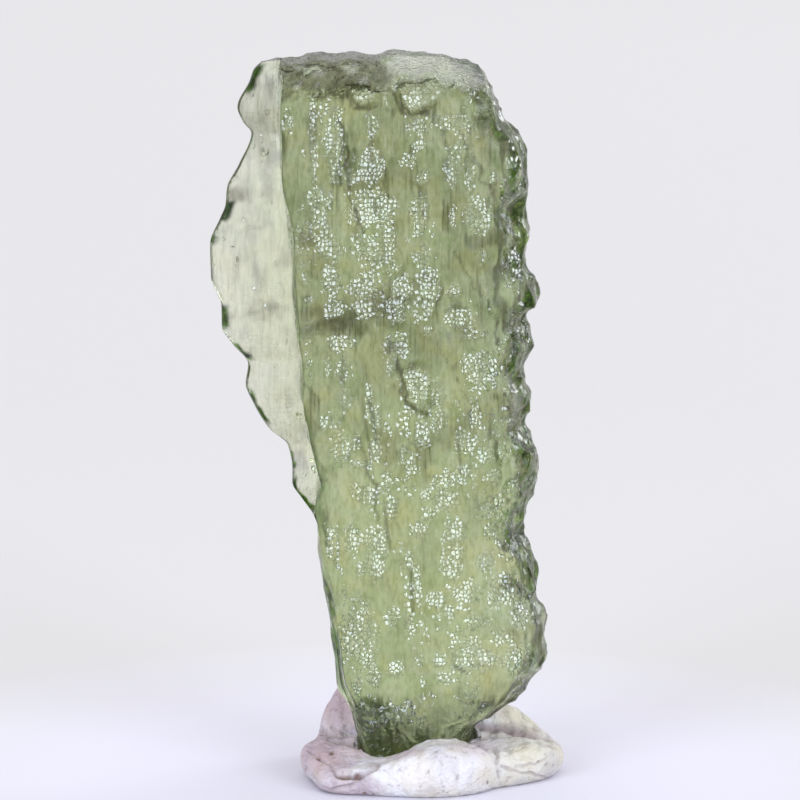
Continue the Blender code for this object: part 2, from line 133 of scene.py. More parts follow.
# broken-out chips: depth, then corners (sideways place, height) anticlockwise seen from the
# front, each with the width over which the side after it slopes down to the chip's floor
SHARP_SIDE = 0.13  # sides with slopes narrower than this are walls
CHIPS = [
    (0.3, [
        (0.1, 28.0, 0.12), (0.35, 27.35, 0.12), (0.62, 26.85, 0.12), (0.95, 26.62, 0.12),
        (1.35, 26.75, 0.2), (1.95, 27.05, 0.3), (2.4, 27.35, 0.3), (2.7, 27.75, 0.3),
        (2.6, 28.05, 0.35), (1.6, 28.2, 0.35), (0.9, 28.17, 0.35),
    ]),
    (0.25, [
        (-1.6, 27.85, 0.12), (-1.5, 27.3, 0.12), (-1.2, 26.95, 0.12), (-0.75, 26.9, 0.16),
        (-0.35, 27.15, 0.25), (-0.2, 27.6, 0.3), (-0.45, 27.95, 0.3), (-1.1, 28.0, 0.3),
    ]),
    (0.18, [
        (-0.65, 28.01, 0.2), (-0.41, 27.29, 0.15), (-0.18, 26.85, 0.15), (0.18, 26.97, 0.2),
        (0.1, 27.85, 0.2),
    ]),
    (0.12, [(-2.78, 27.85, 0.2), (-2.7, 27.33, 0.12), (-2.3, 27.45, 0.15), (-2.22, 27.85, 0.2)]),
    (0.24, [
        (0.53, 16.97, 0.12), (0.42, 16.3, 0.12), (0.7, 15.5, 0.12), (1.24, 15.02, 0.4),
        (1.95, 15.26, 0.5), (2.1, 16.26, 0.5), (1.5, 17.1, 0.4),
    ]),
    (0.08, [
        (4.19, 13.86, 0.12), (4.15, 12.98, 0.2), (4.59, 12.66, 0.3), (5.1, 13.26, 0.3),
        (4.86, 13.94, 0.3),
    ]),
    (0.09, [
        (2.34, 5.54, 0.2), (2.42, 4.9, 0.12), (3.01, 4.58, 0.2), (4.0, 4.9, 0.3), (4.11, 5.54, 0.3),
        (3.21, 5.86, 0.3),
    ]),
    (0.16, [(-3.48, 28.5, 0.15), (-3.33, 28.03, 0.12), (-2.62, 28.11, 0.12), (-2.3, 28.5, 0.2)]),
    (0.16, [
        (-1.99, 28.6, 0.15), (-1.91, 28.25, 0.12), (-1.52, 28.09, 0.12), (-0.89, 28.33, 0.15),
        (-1.04, 28.6, 0.2),
    ]),
]
# narrow grooves: sideways place and height of each end, half width, depth
CUTS = [
    (-1.9, 26.6, -1.5, 23.4, 0.06, 0.07), (-1.7, 26.5, -1.3, 23.0, 0.05, 0.06),
    (-2.15, 25.2, -1.9, 22.6, 0.05, 0.05), (-0.7, 26.5, -0.6, 24.6, 0.05, 0.05),
    (-0.85, 16.2, -0.3, 13.0, 0.06, 0.07), (-1.1, 16.0, -0.6, 12.6, 0.05, 0.05),
    (2.6, 14.9, 2.9, 12.2, 0.06, 0.06), (3.5, 21.0, 3.7, 17.6, 0.06, 0.06),
    (-0.2, 11.6, 0.1, 9.2, 0.05, 0.05), (0.8, 9.4, 1.0, 6.6, 0.05, 0.05),
]
# painted shade along the grooves: its half width and strength
CUT_SHADE_WIDTH, CUT_SHADE = 0.09, 0.9
# darker blotches seen in the glass: sideways place, height, half width, half height, strength
BLOTCHES = [
    (-2.0, 18.4, 1.8, 0.6, 0.95), (-0.6, 18.8, 1.3, 0.5, 0.9), (0.6, 19.3, 1.2, 0.4, 0.8),
    (-0.4, 24.0, 1.2, 1.0, 0.5), (0.9, 26.0, 0.6, 0.7, 0.45), (4.6, 26.0, 0.7, 2.2, 0.6),
    (3.9, 27.3, 0.5, 0.7, 0.85), (2.5, 28.0, 0.3, 0.12, 0.9), (3.7, 20.0, 0.9, 1.6, 0.35),
    (2.6, 14.0, 1.2, 1.0, 0.3), (-2.9, 25.0, 1.0, 0.5, 0.3), (0.9, 12.3, 1.2, 0.9, 0.35),
    (3.6, 23.0, 1.0, 1.2, 0.3), (-2.4, 28.2, 1.6, 0.45, 0.75), (0.4, 28.0, 0.8, 0.4, 0.4),
    (-4.6, 18.5, 1.4, 0.35, 0.4), (-6.1, 23.1, 0.4, 0.45, 0.5), (-5.9, 15.6, 0.3, 0.4, 0.5),
    (3.75, 3.05, 0.75, 0.4, 1.0), (0.0, 13.6, 0.8, 0.7, 0.5), (1.6, 13.4, 0.7, 0.8, 0.55),
    (2.9, 18.0, 1.0, 0.6, 0.4), (-4.8, 26.0, 1.5, 2.6, 0.36), (-4.0, 13.5, 1.2, 3.0, 0.13),
    (-5.2, 26.2, 0.5, 0.15, 0.6), (-4.8, 25.0, 0.12, 1.2, 0.4), (-5.6, 21.9, 0.6, 0.2, 0.3),
]
# dark lines: half width, strength, then (sideways place, height) along the line
DARK_LINES = [
    (0.2, 0.92, [
        (3.88, 28.2), (4.27, 26.25), (4.39, 24.85), (4.67, 23.25), (4.51, 22.05), (4.31, 20.8),
        (4.39, 19.25), (4.86, 17.85), (4.94, 15.25), (5.18, 13.65), (5.57, 12.45), (5.3, 11.05),
    ]),
    (0.07, 0.9, [(-4.15, 27.45), (-3.1, 27.53), (-1.7, 27.77), (-1.3, 27.6)]),
    # this line and the next: painted shade along the lower rims of the two chips at the top
    (0.1, 1.0, [(0.2, 27.6), (0.5, 26.95), (0.9, 26.58), (1.4, 26.75)]),
    (0.08, 1.0, [(-1.6, 27.5), (-1.35, 27.0), (-0.8, 26.82), (-0.4, 27.05)]),
    (0.28, 0.65, [(-3.48, 17.93), (-1.9, 18.4), (-0.73, 18.65), (0.45, 18.4)]),
    (0.1, 1.0, [(-1.71, 25.45), (-1.44, 23.45), (-0.93, 22.05)]),
    (0.09, 1.0, [(-1.9, 26.4), (-1.85, 23.9)]),
    (0.07, 0.9, [(3.9, 19.45), (4.4, 17.65)]),
    # painted shade on the left and lower wall of the pit
    (0.1, 1.0, [(0.45, 17.05), (0.5, 15.9), (0.8, 15.3), (1.63, 14.85)]),
    (0.2, 0.97, [(6.2, 5.1), (5.2, 3.75), (4.2, 2.8), (3.5, 1.95)]),
    (0.06, 0.6, [(1.9, 17.65), (3.6, 14.65)]),
    (0.12, 0.7, [(-3.2, 16.0), (-2.95, 14.0), (-2.6, 12.2)]),
    (0.06, 0.75, [(2.6, 21.3), (3.3, 19.9), (4.2, 19.2)]),
    (0.08, 0.75, [(-0.8, 25.6), (-0.6, 24.2), (0.1, 23.4)]),
    (0.09, 0.75, [(-1.0, 13.9), (-0.5, 12.0), (-0.4, 10.6)]),
    (0.09, 0.8, [(2.9, 25.9), (3.5, 24.4), (4.3, 23.2)]),
    (0.07, 0.6, [(0.3, 14.4), (1.4, 13.0), (1.5, 12.2)]),
]
# pale streaks of painted sheen on the broken top: sideways place, height, half width, half height
PALE_SHEEN_STREAKS = [
    (-2.8, 28.15, 0.45, 0.13), (-3.4, 28.36, 0.3, 0.1), (-1.4, 28.42, 0.35, 0.12),
    (-1.0, 28.0, 0.35, 0.1), (0.2, 28.4, 0.35, 0.12), (-3.5, 27.75, 0.3, 0.1),
]
# deep green spots along the left edge: height, half height, reach inwards
EDGE_SPOTS = [
    (27.6, 0.65, 0.5), (22.4, 0.5, 0.45), (21.3, 0.22, 0.35), (18.2, 0.55, 0.35), (16.8, 0.4, 0.4),
    (14.6, 0.85, 0.32), (12.6, 0.7, 0.16), (11.0, 0.9, 0.22), (5.2, 4.4, 0.28),
]
GRAIN_BORDER = 0.11  # share of a grain over which its slope fades out
GRAIN_FLATTENS = 0.6
PATCH_SIZE, PATCH_TILT, PATCH_TILT_REACH = (0.8, 1.0, 2.4), 0.12, 0.3
PATCH_REACH, PATCH_REACH_LOW, PATCH_LOW = 1.3, 1.5, 13.0
# etched patches on the front that catch the light: sideways place, height, half width,
# half height
GLINT_PATCHES = [
    (-3.9, 26.4, 0.16, 0.36), (-3.0, 26.8, 0.12, 0.32), (-2.9, 25.4, 0.12, 1.2),
    (-2.0, 26.8, 0.24, 0.2), (-2.1, 25.4, 0.28, 1.04), (-0.6, 26.3, 0.2, 0.4),
    (-0.7, 24.7, 0.39, 0.56), (-0.3, 24.7, 0.16, 0.4), (1.2, 26.3, 0.2, 0.32),
    (1.2, 25.5, 0.2, 0.2), (0.8, 24.9, 0.24, 0.28), (1.3, 24.2, 0.24, 0.2), (2.6, 26.3, 0.63, 0.24),
    (2.9, 26.0, 0.2, 0.48), (2.5, 24.7, 0.31, 0.56), (3.2, 24.3, 0.16, 0.56),
    (-2.8, 23.4, 0.24, 0.28), (-2.3, 23.3, 0.12, 0.24), (-2.7, 22.7, 0.24, 0.48),
    (-2.4, 21.8, 0.31, 0.48), (-2.1, 21.3, 0.31, 0.2), (-1.4, 24.2, 0.31, 0.2),
    (-0.7, 22.9, 0.71, 0.56), (-1.0, 21.7, 0.24, 0.32), (-0.5, 21.1, 0.31, 0.28),
    (0.0, 21.7, 0.24, 0.56), (0.2, 20.7, 0.2, 0.16), (1.2, 22.9, 0.28, 0.48),
    (1.2, 22.2, 0.16, 0.28), (1.3, 21.1, 0.24, 0.32), (2.5, 22.7, 0.12, 0.32),
    (3.5, 22.7, 0.43, 0.52), (3.7, 21.1, 0.16, 0.24), (-2.2, 20.2, 0.28, 0.56),
    (-0.9, 19.8, 0.47, 0.56), (0.5, 19.9, 0.35, 0.4), (1.6, 20.0, 0.35, 0.64),
    (2.6, 19.7, 0.2, 0.2), (-2.0, 19.2, 0.28, 0.2), (4.1, 24.1, 0.12, 0.28),
    (-3.2, 20.3, 0.12, 0.16), (-3.1, 19.4, 0.16, 0.16), (-2.1, 19.0, 0.31, 0.32),
    (-0.9, 19.1, 0.39, 0.32), (0.3, 19.0, 0.31, 0.4), (1.5, 19.0, 0.2, 0.28),
    (1.5, 18.3, 0.16, 0.2), (2.8, 18.7, 0.47, 0.32), (3.4, 18.0, 0.39, 0.16),
    (-1.8, 17.7, 0.47, 0.24), (-1.8, 16.6, 0.24, 0.36), (-1.7, 15.5, 0.24, 0.4),
    (-2.4, 16.8, 0.08, 0.48), (0.3, 17.6, 0.43, 0.36), (0.1, 16.9, 0.2, 0.32),
    (-0.8, 15.5, 0.12, 0.48), (-0.5, 14.7, 0.16, 0.48), (0.9, 16.2, 0.35, 0.4),
    (1.6, 15.7, 0.43, 0.48), (3.6, 16.6, 0.55, 0.6), (5.4, 18.0, 0.16, 0.24),
    (5.0, 14.5, 0.35, 0.24), (2.0, 14.6, 0.24, 0.36), (1.3, 14.1, 0.24, 0.44),
    (3.4, 14.7, 0.2, 0.32), (2.9, 13.7, 0.28, 0.36), (3.8, 13.3, 0.43, 0.28),
    (-2.5, 14.5, 0.12, 0.24), (-1.9, 13.4, 0.31, 0.48), (-1.3, 13.7, 0.2, 0.32),
    (-0.5, 13.5, 0.2, 0.4), (-1.0, 12.9, 0.35, 0.12), (0.6, 13.3, 0.12, 0.32),
    (0.9, 12.8, 0.16, 0.32), (2.2, 12.3, 0.35, 0.24), (2.9, 12.5, 0.2, 0.24),
    (2.2, 11.5, 0.39, 0.28), (4.0, 12.3, 0.24, 0.2), (-0.1, 12.2, 0.12, 0.32),
    (-0.9, 11.8, 0.47, 0.28), (0.1, 11.3, 0.16, 0.36), (1.5, 11.7, 0.16, 0.24),
    (1.6, 10.9, 0.2, 0.2), (5.0, 11.8, 0.28, 0.28), (4.2, 11.1, 0.35, 0.36),
    (4.3, 10.2, 0.35, 0.36), (5.0, 10.4, 0.16, 0.32), (-1.4, 9.9, 0.24, 0.4),
    (-0.5, 9.9, 0.35, 0.4), (1.2, 10.3, 0.24, 0.2), (2.6, 10.2, 0.31, 0.4), (2.4, 9.3, 0.28, 0.2),
    (4.8, 9.5, 0.31, 0.32), (-2.3, 9.5, 0.12, 0.24), (-1.0, 8.8, 0.2, 0.24),
    (-0.5, 9.0, 0.28, 0.48), (0.8, 9.0, 0.16, 0.24), (1.1, 8.2, 0.12, 0.48), (2.5, 9.0, 0.31, 0.48),
    (3.1, 7.8, 0.35, 0.32), (3.8, 8.9, 0.2, 0.28), (4.5, 7.8, 0.51, 0.4), (5.3, 6.9, 0.35, 0.48),
    (3.5, 6.6, 0.35, 0.24), (1.9, 7.4, 0.24, 0.24), (2.4, 6.9, 0.16, 0.24), (0.1, 6.8, 0.24, 0.24),
    (0.9, 6.4, 0.12, 0.32), (-1.2, 6.0, 0.47, 0.88), (-0.9, 5.2, 0.31, 0.32),
    (-1.8, 6.3, 0.12, 0.24), (3.3, 5.5, 0.24, 0.32), (3.8, 5.0, 0.51, 0.24), (4.5, 5.9, 0.35, 0.24),
    (5.1, 5.0, 0.35, 0.48), (2.0, 5.0, 0.2, 0.2), (2.2, 4.3, 0.2, 0.2), (-1.3, 3.9, 0.16, 0.24),
    (-0.6, 4.3, 0.2, 0.28), (0.3, 4.7, 0.24, 0.2), (0.6, 2.9, 0.24, 0.36), (-0.8, 2.2, 0.16, 0.12),
    (3.8, 2.9, 0.2, 0.2), (4.9, 21.0, 0.24, 0.48), (5.0, 20.3, 0.3, 0.4), (4.6, 23.6, 0.14, 0.5),
    (5.0, 18.6, 0.25, 0.3), (5.2, 13.9, 0.2, 0.3), (5.4, 12.0, 0.25, 0.3),
]

# ---- the putty
PUTTY_CENTRE = (1.8, 0.0)
# outline and crest: angle, reach, height of the crest, where the crest is on the way out
PUTTY_ROUND = [
    (-180, 5.3, 1.45, 0.74), (-158, 5.4, 1.4, 0.76), (-140, 5.75, 1.05, 0.7),
    (-122, 5.0, 1.3, 0.62), (-108, 4.75, 1.65, 0.6), (-85, 4.6, 1.85, 0.6), (-62, 4.25, 1.85, 0.64),
    (-48, 3.9, 1.5, 0.7), (-30, 4.35, 1.5, 0.7), (-10, 5.0, 1.5, 0.74), (8, 5.2, 1.3, 0.7),
    (24, 5.15, 1.6, 0.68), (42, 4.8, 2.45, 0.66), (62, 4.5, 1.9, 0.62), (85, 4.4, 1.35, 0.6),
    (112, 4.6, 1.6, 0.6), (138, 5.5, 3.0, 0.78), (148, 5.3, 2.6, 0.76), (158, 5.1, 1.6, 0.74),
    (170, 5.2, 1.4, 0.74), (180, 5.3, 1.45, 0.74),
]
PUTTY_HOLLOW = 1.4
# Places on the putty are (sideways, up), as seen from 10 degrees above the front.
VIEW_UP, VIEW_DEPTH = 0.985, 0.1736
CREASE_FULL = 0.2
BANK_SHARE, BANK_AT = 0.35, 2.2  # the low swelling beside a fold
# folds pressed into it: width, depth, then the places along the fold
CREASES = [
    (0.12, 0.26, [(-2.7, 1.62), (-1.95, 1.38), (-1.2, 1.2)]),
    (0.07, 0.1, [(-3.1, 0.95), (-2.5, 0.6), (-2.0, 0.3)]),
    (0.08, 0.14, [(-2.3, -0.5), (-1.45, -0.24), (-0.65, 0.25), (-0.35, 0.58)]),
    (0.06, 0.06, [(-0.4, 0.6), (0.65, 0.97), (1.25, 1.12)]),
    (0.09, 0.09, [(4.15, 1.25), (4.3, 0.65), (4.4, -0.05)]),
    (0.07, 0.08, [(4.0, 1.3), (4.6, 1.17), (5.2, 1.3)]),
    (0.07, 0.1, [(4.5, 0.42), (5.4, 0.1), (6.3, -0.2)]),
    (0.08, 0.07, [(6.15, 1.25), (6.28, 0.8), (5.75, 0.45), (5.15, 0.35)]),
    (0.05, 0.1, [(2.8, -0.76), (3.85, -0.52)]),
    (0.2, 0.19, [(3.6, 1.9), (5.2, 1.72), (6.55, 1.35)]),
    (0.08, 0.09, [(4.85, 2.15), (5.55, 1.95), (6.15, 1.75)]),
    (0.06, 0.06, [(-3.3, 0.25), (-2.8, -0.2), (-2.1, -0.6)]),
    (0.06, 0.05, [(-3.5, 0.65), (-3.0, 0.78), (-2.5, 0.65)]),
]
# pressed-in spots: place, radii, depth
DENTS = [
    (-1.75, 0.14, 0.42, 0.26, 0.4), (-1.3, 0.04, 0.3, 0.2, 0.25), (-2.25, 1.0, 0.2, 0.14, 0.1),
    (2.6, 0.6, 0.7, 0.45, 0.07), (0.9, 0.2, 0.6, 0.4, 0.06), (5.6, 2.3, 0.7, 0.5, 0.15),
    (-1.75, 2.5, 0.5, 0.5, 0.08), (5.4, 0.85, 0.5, 0.25, 0.08),
]
# tinted places: place, radii, strength; the pink ones are partly painted lilac shade
PINK_AND_SHADE = [
    (-1.9, 2.6, 1.25, 1.3, 1.0), (-2.6, 0.9, 1.5, 1.1, 1.0), (-1.7, -0.45, 1.7, 0.7, 0.8),
    (0.5, 1.0, 1.0, 0.3, 0.7), (3.4, 1.2, 1.2, 0.35, 0.4), (-1.3, 1.0, 0.7, 0.5, 0.8),
]
CREAM = [
    (5.6, 2.4, 1.7, 1.1, 1.0), (5.8, 0.9, 1.9, 1.1, 0.9), (5.2, -0.1, 2.0, 0.7, 0.7),
    (2.5, -0.6, 2.0, 0.3, 0.4),
]
GRIT_AND_SHADE = [
    (-1.8, 0.12, 0.34, 0.2, 1.0), (-1.3, 0.04, 0.28, 0.16, 0.9), (-2.26, 1.01, 0.1, 0.1, 0.9),
    (-2.74, 0.7, 0.09, 0.09, 0.8), (-0.96, -0.64, 0.09, 0.09, 0.9), (3.92, -0.25, 0.08, 0.08, 0.8),
    # the first entry on the next line is painted shade under the wedge at the back right
    (4.8, 1.7, 1.4, 0.35, 0.22), (0.4, -0.3, 0.05, 0.05, 0.8), (5.9, 0.65, 0.07, 0.07, 0.7),
    (-0.5, -0.64, 0.07, 0.07, 0.8),
]
SOCKET_GAP, SOCKET_FLOOR, SOCKET_WALL, SOCKET_LEVEL = 0.05, 0.6, 0.1, 1.7
PUTTY_UNDERSIDE_SHARE = 0.9
PUTTY_SPOKES, PUTTY_TOP_RINGS, PUTTY_SIDE_RINGS = 420, 90, 80

# ---- lattice noises that waver or break up what is above: (strength, size, seed) of each layer
CHIP_WAVER = (((0.14, 0.35, 71), (0.04, 0.15, 72)), ((0.14, 0.35, 73), (0.04, 0.15, 74)))
LINE_WAVER = (
    ((0.22, (0.6, 0.9, 0.6), 75), (0.08, (0.2, 0.4, 0.2), 76)), ((0.12, (0.4, 0.9, 0.4), 77),),
)
STAIN_WAVER = (((0.5, 0.9, 51), (0.2, 0.3, 52)), ((0.4, 0.9, 53), (0.2, 0.3, 54)))
MOTTLING = ((1, (0.45, 0.5, 0.7), 60), (0.6, (0.2, 0.22, 0.4), 66))
LAYERING = ((1, (0.5, 0.5, 0.2), 59), (0.6, (0.2, 0.2, 0.12), 67))
RAGGED_SKIN = ((0.3, (0.5, 0.5, 0.35), 61), (0.3, (0.18, 0.18, 0.12), 62))
SHINY_SKIN = ((1, (0.45, 0.6, 0.5), 79), (0.5, (0.2, 0.3, 0.2), 80))
RIM_BLOTS = ((1, (0.35, 0.45, 0.45), 81), (0.5, (0.15, 0.2, 0.2), 82))
PUTTY_LUMPS = ((0.16, (2.2, 2.2, 2.0), 5), (0.08, 0.8, 41), (0.045, 0.3, 42))

# ---- colours: what the glass's skin lets through, and the putty's tints
CLOUD_STOPS = [(0.35, (0.84, 0.93, 0.8)), (0.5, 1), (0.64, (0.98, 0.92, 0.73))]
SPECKLE_STOPS = [(0.36, (0.68, 0.71, 0.6)), (0.58, 1)]
STRAND_STOPS = [(0.35, (0.26, 0.28, 0.2)), (0.47, 1)]
SMUDGE_STOPS = [(0.34, (0.7, 0.68, 0.72)), (0.47, (0.99, 0.98, 0.98))]
MOSS_STOPS, SLOPE_STOPS = [(0.35, 0.8), (0.6, 1)], [(0.4, 1), (0.65, 0.45)]
# dark greens for the deep-green spots and for painted shade along the edges
DEEP_GREEN_AND_SHADE_STOPS = [(0.42, (0.01, 0.02, 0.005)), (0.62, (0.08, 0.18, 0.02))]
# the second colour lightens pale skin: painted sheen
WING_COLOUR, PALE_SHEEN_COLOUR = (0.97, 1.0, 0.86), (0.95, 0.96, 1.0)
# the grain borders' colour is painted shade; the stain colour is for stains and painted shade
GRAIN_SHADE_COLOUR, STAIN_AND_SHADE_COLOUR = (0.28, 0.32, 0.22), (0.06, 0.05, 0.028)
SHADE_COLOUR = (0.02, 0.024, 0.012)
PUTTY_CLOUD = [(0.3, (0.8, 0.78, 0.84)), (0.5, 1), (0.75, 1.08)]
WARM_STOPS = [(0.42, 1), (0.66, (0.96, 0.92, 0.84))]
FLECK_STOPS = [(0.28, (0.62, 0.58, 0.6)), (0.4, 1)]
PINK_AND_SHADE_COLOUR, CREAM_COLOUR = (0.68, 0.55, 0.6), (0.89, 0.885, 0.73)
# painted shade in the folds; the grit colour also paints one band of shade
CREASE_SHADE_COLOUR, GRIT_AND_SHADE_COLOUR = (0.33, 0.27, 0.27), (0.13, 0.07, 0.05)

# ---- stage: lights (place in metres, width, which brightness, colour), floor and camera
FRONT_LIGHT = (0.77, 0.87, 1)
LIGHTS = [
    ("Overhead", (0, 0.3, 0.85), 1.6, "overhead", (0.97, 0.985, 1.04)),
    ("Front left", (-0.54, -0.68, 0.25), 0.47, "sparkle", FRONT_LIGHT),
    ("Front right", (0.54, -0.68, 0.25), 0.47, "sparkle", FRONT_LIGHT),
    ("Side right", (0.75, 0.42, 0.3), 0.35, "side", (0.9, 0.93, 1)),
]
STONE_MIDDLE = 15
FLOOR_CORNERS = ((-1, -1), (1, -1), (1, 1), (-1, 1))
FLOOR_HALF, FLOOR_FADE = 1.5, 0.25
SENSOR_WIDTH, FOCAL_LENGTH, LOOK_AT = 36, 300, (0.453, 0, 15.06)


def curve(at, knots):
    """A smooth curve through (place, value) knots: a cubic in each span whose slopes at the
    knots are harmonic means, so it never overshoots."""
    places, values = np.array(knots, float).T
    step = np.diff(places)
    slope = np.diff(values) / step
    before, after = slope[:-1], slope[1:]
    same_way = before * after > 0
    tangent = np.zeros(len(places))
    tangent[1:-1][same_way] = (2 * before * after)[same_way] / (before + after)[same_way]
    tangent[0], tangent[-1] = slope[0], slope[-1]
    i = np.clip(np.searchsorted(places, at) - 1, 0, len(step) - 1)
    t = np.clip((at - places[i]) / step[i], 0, 1)
    start = values[i] + step[i] * tangent[i] * t * (1 - t) ** 2
    end = -step[i] * tangent[i + 1] * t**2 * (1 - t)
    return start + end + (values[i + 1] - values[i]) * t**2 * (3 - 2 * t)


def rise(value, low, high):
    """0 below low, 1 above high, 3t squared minus 2t cubed between."""
    t = np.clip((value - low) / (high - low), 0, 1)
    return t * t * (3 - 2 * t)


def fall(value, low, high):
    """1 below low, 0 above high: rise the other way."""
    return rise(-value, -high, -low)


def mix(a, b, share):
    """a where the share is 0, b where it is 1."""
    return a + (b - a) * share


def within(across, up, half_width, half_height):
    """One minus the squared elliptic distance: 1 in the middle and 0 on the ellipse."""
    return 1 - (across / half_width) ** 2 - (up / half_height) ** 2


def from_right(x, z):
    """Sideways distance past the stone's right outline: negative inside it."""
    return x - curve(z, RIGHT_SIDE)


def scallops(points, size, seed):
    """Squared distance, in boxes, from each point to the nearest of one random site per box."""
    scattered = np.random.default_rng(seed).random((PERIOD, PERIOD, PERIOD, 3))
    where = points / np.array(size)
    box = np.floor(where).astype(int)
    nearest = np.full(points.shape[:-1], FAR)
    for offset in np.ndindex(3, 3, 3):
        neighbour = box + np.array(offset) - 1
        i, j, k = np.moveaxis(neighbour % PERIOD, -1, 0)
        away = where - neighbour - scattered[i, j, k]
        nearest = np.minimum(nearest, (away**2).sum(-1))
    return nearest


def cups(points, size, seed):
    """Scallops as hollows with ridges between them, about as much above zero as below."""
    return np.clip(scallops(points, size, seed), 0, 1) - SCALLOP_MEAN


def swell(points, size, seed):
    """Random values from -1 to 1 on a box lattice, smoothly interpolated to each point."""
    lattice = np.random.default_rng(seed).uniform(-1, 1, (PERIOD, PERIOD, PERIOD))
    where = points / np.array(size)
    box = np.floor(where).astype(int)
    share = where - box
    share = share**2 * (3 - 2 * share)
    total = np.zeros(points.shape[:-1])
    for corner in np.ndindex(2, 2, 2):
        i, j, k = np.moveaxis((box + np.array(corner)) % PERIOD, -1, 0)
        weight = np.where(np.array(corner) == 1, share, 1 - share).prod(-1)
        total += weight * lattice[i, j, k]
    return total


def swells(points, *layers):
    """Sum of lattice noises, each given as (strength, size, seed)."""
    return sum(strength * swell(points, size, seed) for strength, size, seed in layers)


def wavering(points, layers):
    """Sideways place and height, each with its own lattice noises added."""
    across, up = layers
    return points[..., 0] + swells(points, *across), points[..., 2] + swells(points, *up)


def chips(points, normals):
    """For the chips together: depth, how far each point is on a floor, and on a sharp wall.

    Inside a chip the share of its depth is the least, over its sides, of the distance from
    the side over the side's slope width, smoothed; the outlines waver with a lattice noise.
    """
    facing_front = np.clip(-1.5 * normals[..., 1], 0, 1)
    x, z = wavering(points, CHIP_WAVER)
    depth, floor, wall = np.zeros((3, *x.shape))
    for deepest, corners in CHIPS:
        share, sharp = np.ones(x.shape), np.zeros(x.shape)
        for (x0, z0, soft), (x1, z1, _) in zip(corners, corners[1:] + corners[:1]):
            length = math.hypot(x1 - x0, z1 - z0)
            inside = ((x1 - x0) * (z - z0) - (z1 - z0) * (x - x0)) / length / soft
            sharp = np.where(inside < share, float(soft < SHARP_SIDE), sharp)
            share = np.minimum(share, inside)
        wall = np.maximum(wall, sharp * rise(share, -0.9, 0.0) * fall(share, 0.6, 1.0))
        share = rise(share, 0.0, 1.0)
        floor = np.maximum(floor, rise(share, 0.6, 1.0))
        depth = np.maximum(depth, deepest * share)
    return depth * facing_front, floor * (1 - wall) * facing_front, wall * facing_front


def cut(x, z, x0, z0, x1, z1, half_width, depth):
    """Depth of a straight groove: a parabola across it, fading at both ends."""
    length = math.hypot(x1 - x0, z1 - z0)
    run = ((x - x0) * (x1 - x0) + (z - z0) * (z1 - z0)) / length
    off = ((x - x0) * (z1 - z0) - (z - z0) * (x1 - x0)) / length
    share = np.clip(run / length, 0, 1)
    return depth * np.clip(1 - (off / half_width) ** 2, 0, 1) * 4 * share * (1 - share)


def to_line(across, up, places):
    """Distance from each point to a run of straight segments."""
    nearest = np.full(across.shape, FAR)
    for (x0, z0), (x1, z1) in zip(places[:-1], places[1:]):
        dx, dz = x1 - x0, z1 - z0
        run = np.clip(((across - x0) * dx + (up - z0) * dz) / (dx**2 + dz**2), 0, 1)
        nearest = np.minimum(nearest, np.hypot(across - x0 - run * dx, up - z0 - run * dz))
    return nearest


def dark_lines(points, mottled):
    """Strength of the listed dark lines, wavering and broken up by a lattice noise."""
    x, z = wavering(points, LINE_WAVER)
    out = np.zeros(x.shape)
    for half_width, strength, places in DARK_LINES:
        near = 1 - to_line(x, z, places) / half_width
        out = np.maximum(out, strength * rise(near + 0.5 * mottled, -0.3, 0.6))
    return out * fall(points[..., 1], -0.2, 1.2)


def clouded(points, x, z, slab):
    """The stain away from any listed place: clouds that are stronger high up, upright streaks
    and, on the slab, painted shade on the ridges between the scallops."""
    stain_and_shade = mix(0.02, 0.17, rise(z, 11.0, 17.0)) * (1 + swells(points, (0.7, (1.2, 1.2, 2.0), 55)))
    stain_and_shade = stain_and_shade + 0.12 * np.clip(swell(points, (0.2, 0.4, 2.0), 57), -0.3, 1) + 0.04
    stain_and_shade = stain_and_shade * mix(1.0, 0.65, rise(x, 0.8, 2.5))
    shade_between_cups = rise(scallops(points, SCALLOP_SIZE, SCALLOP_SEED), 0.3, 0.8)
    return stain_and_shade + mix(0.08, 0.2, rise(x, 0.5, 3.0)) * shade_between_cups * slab


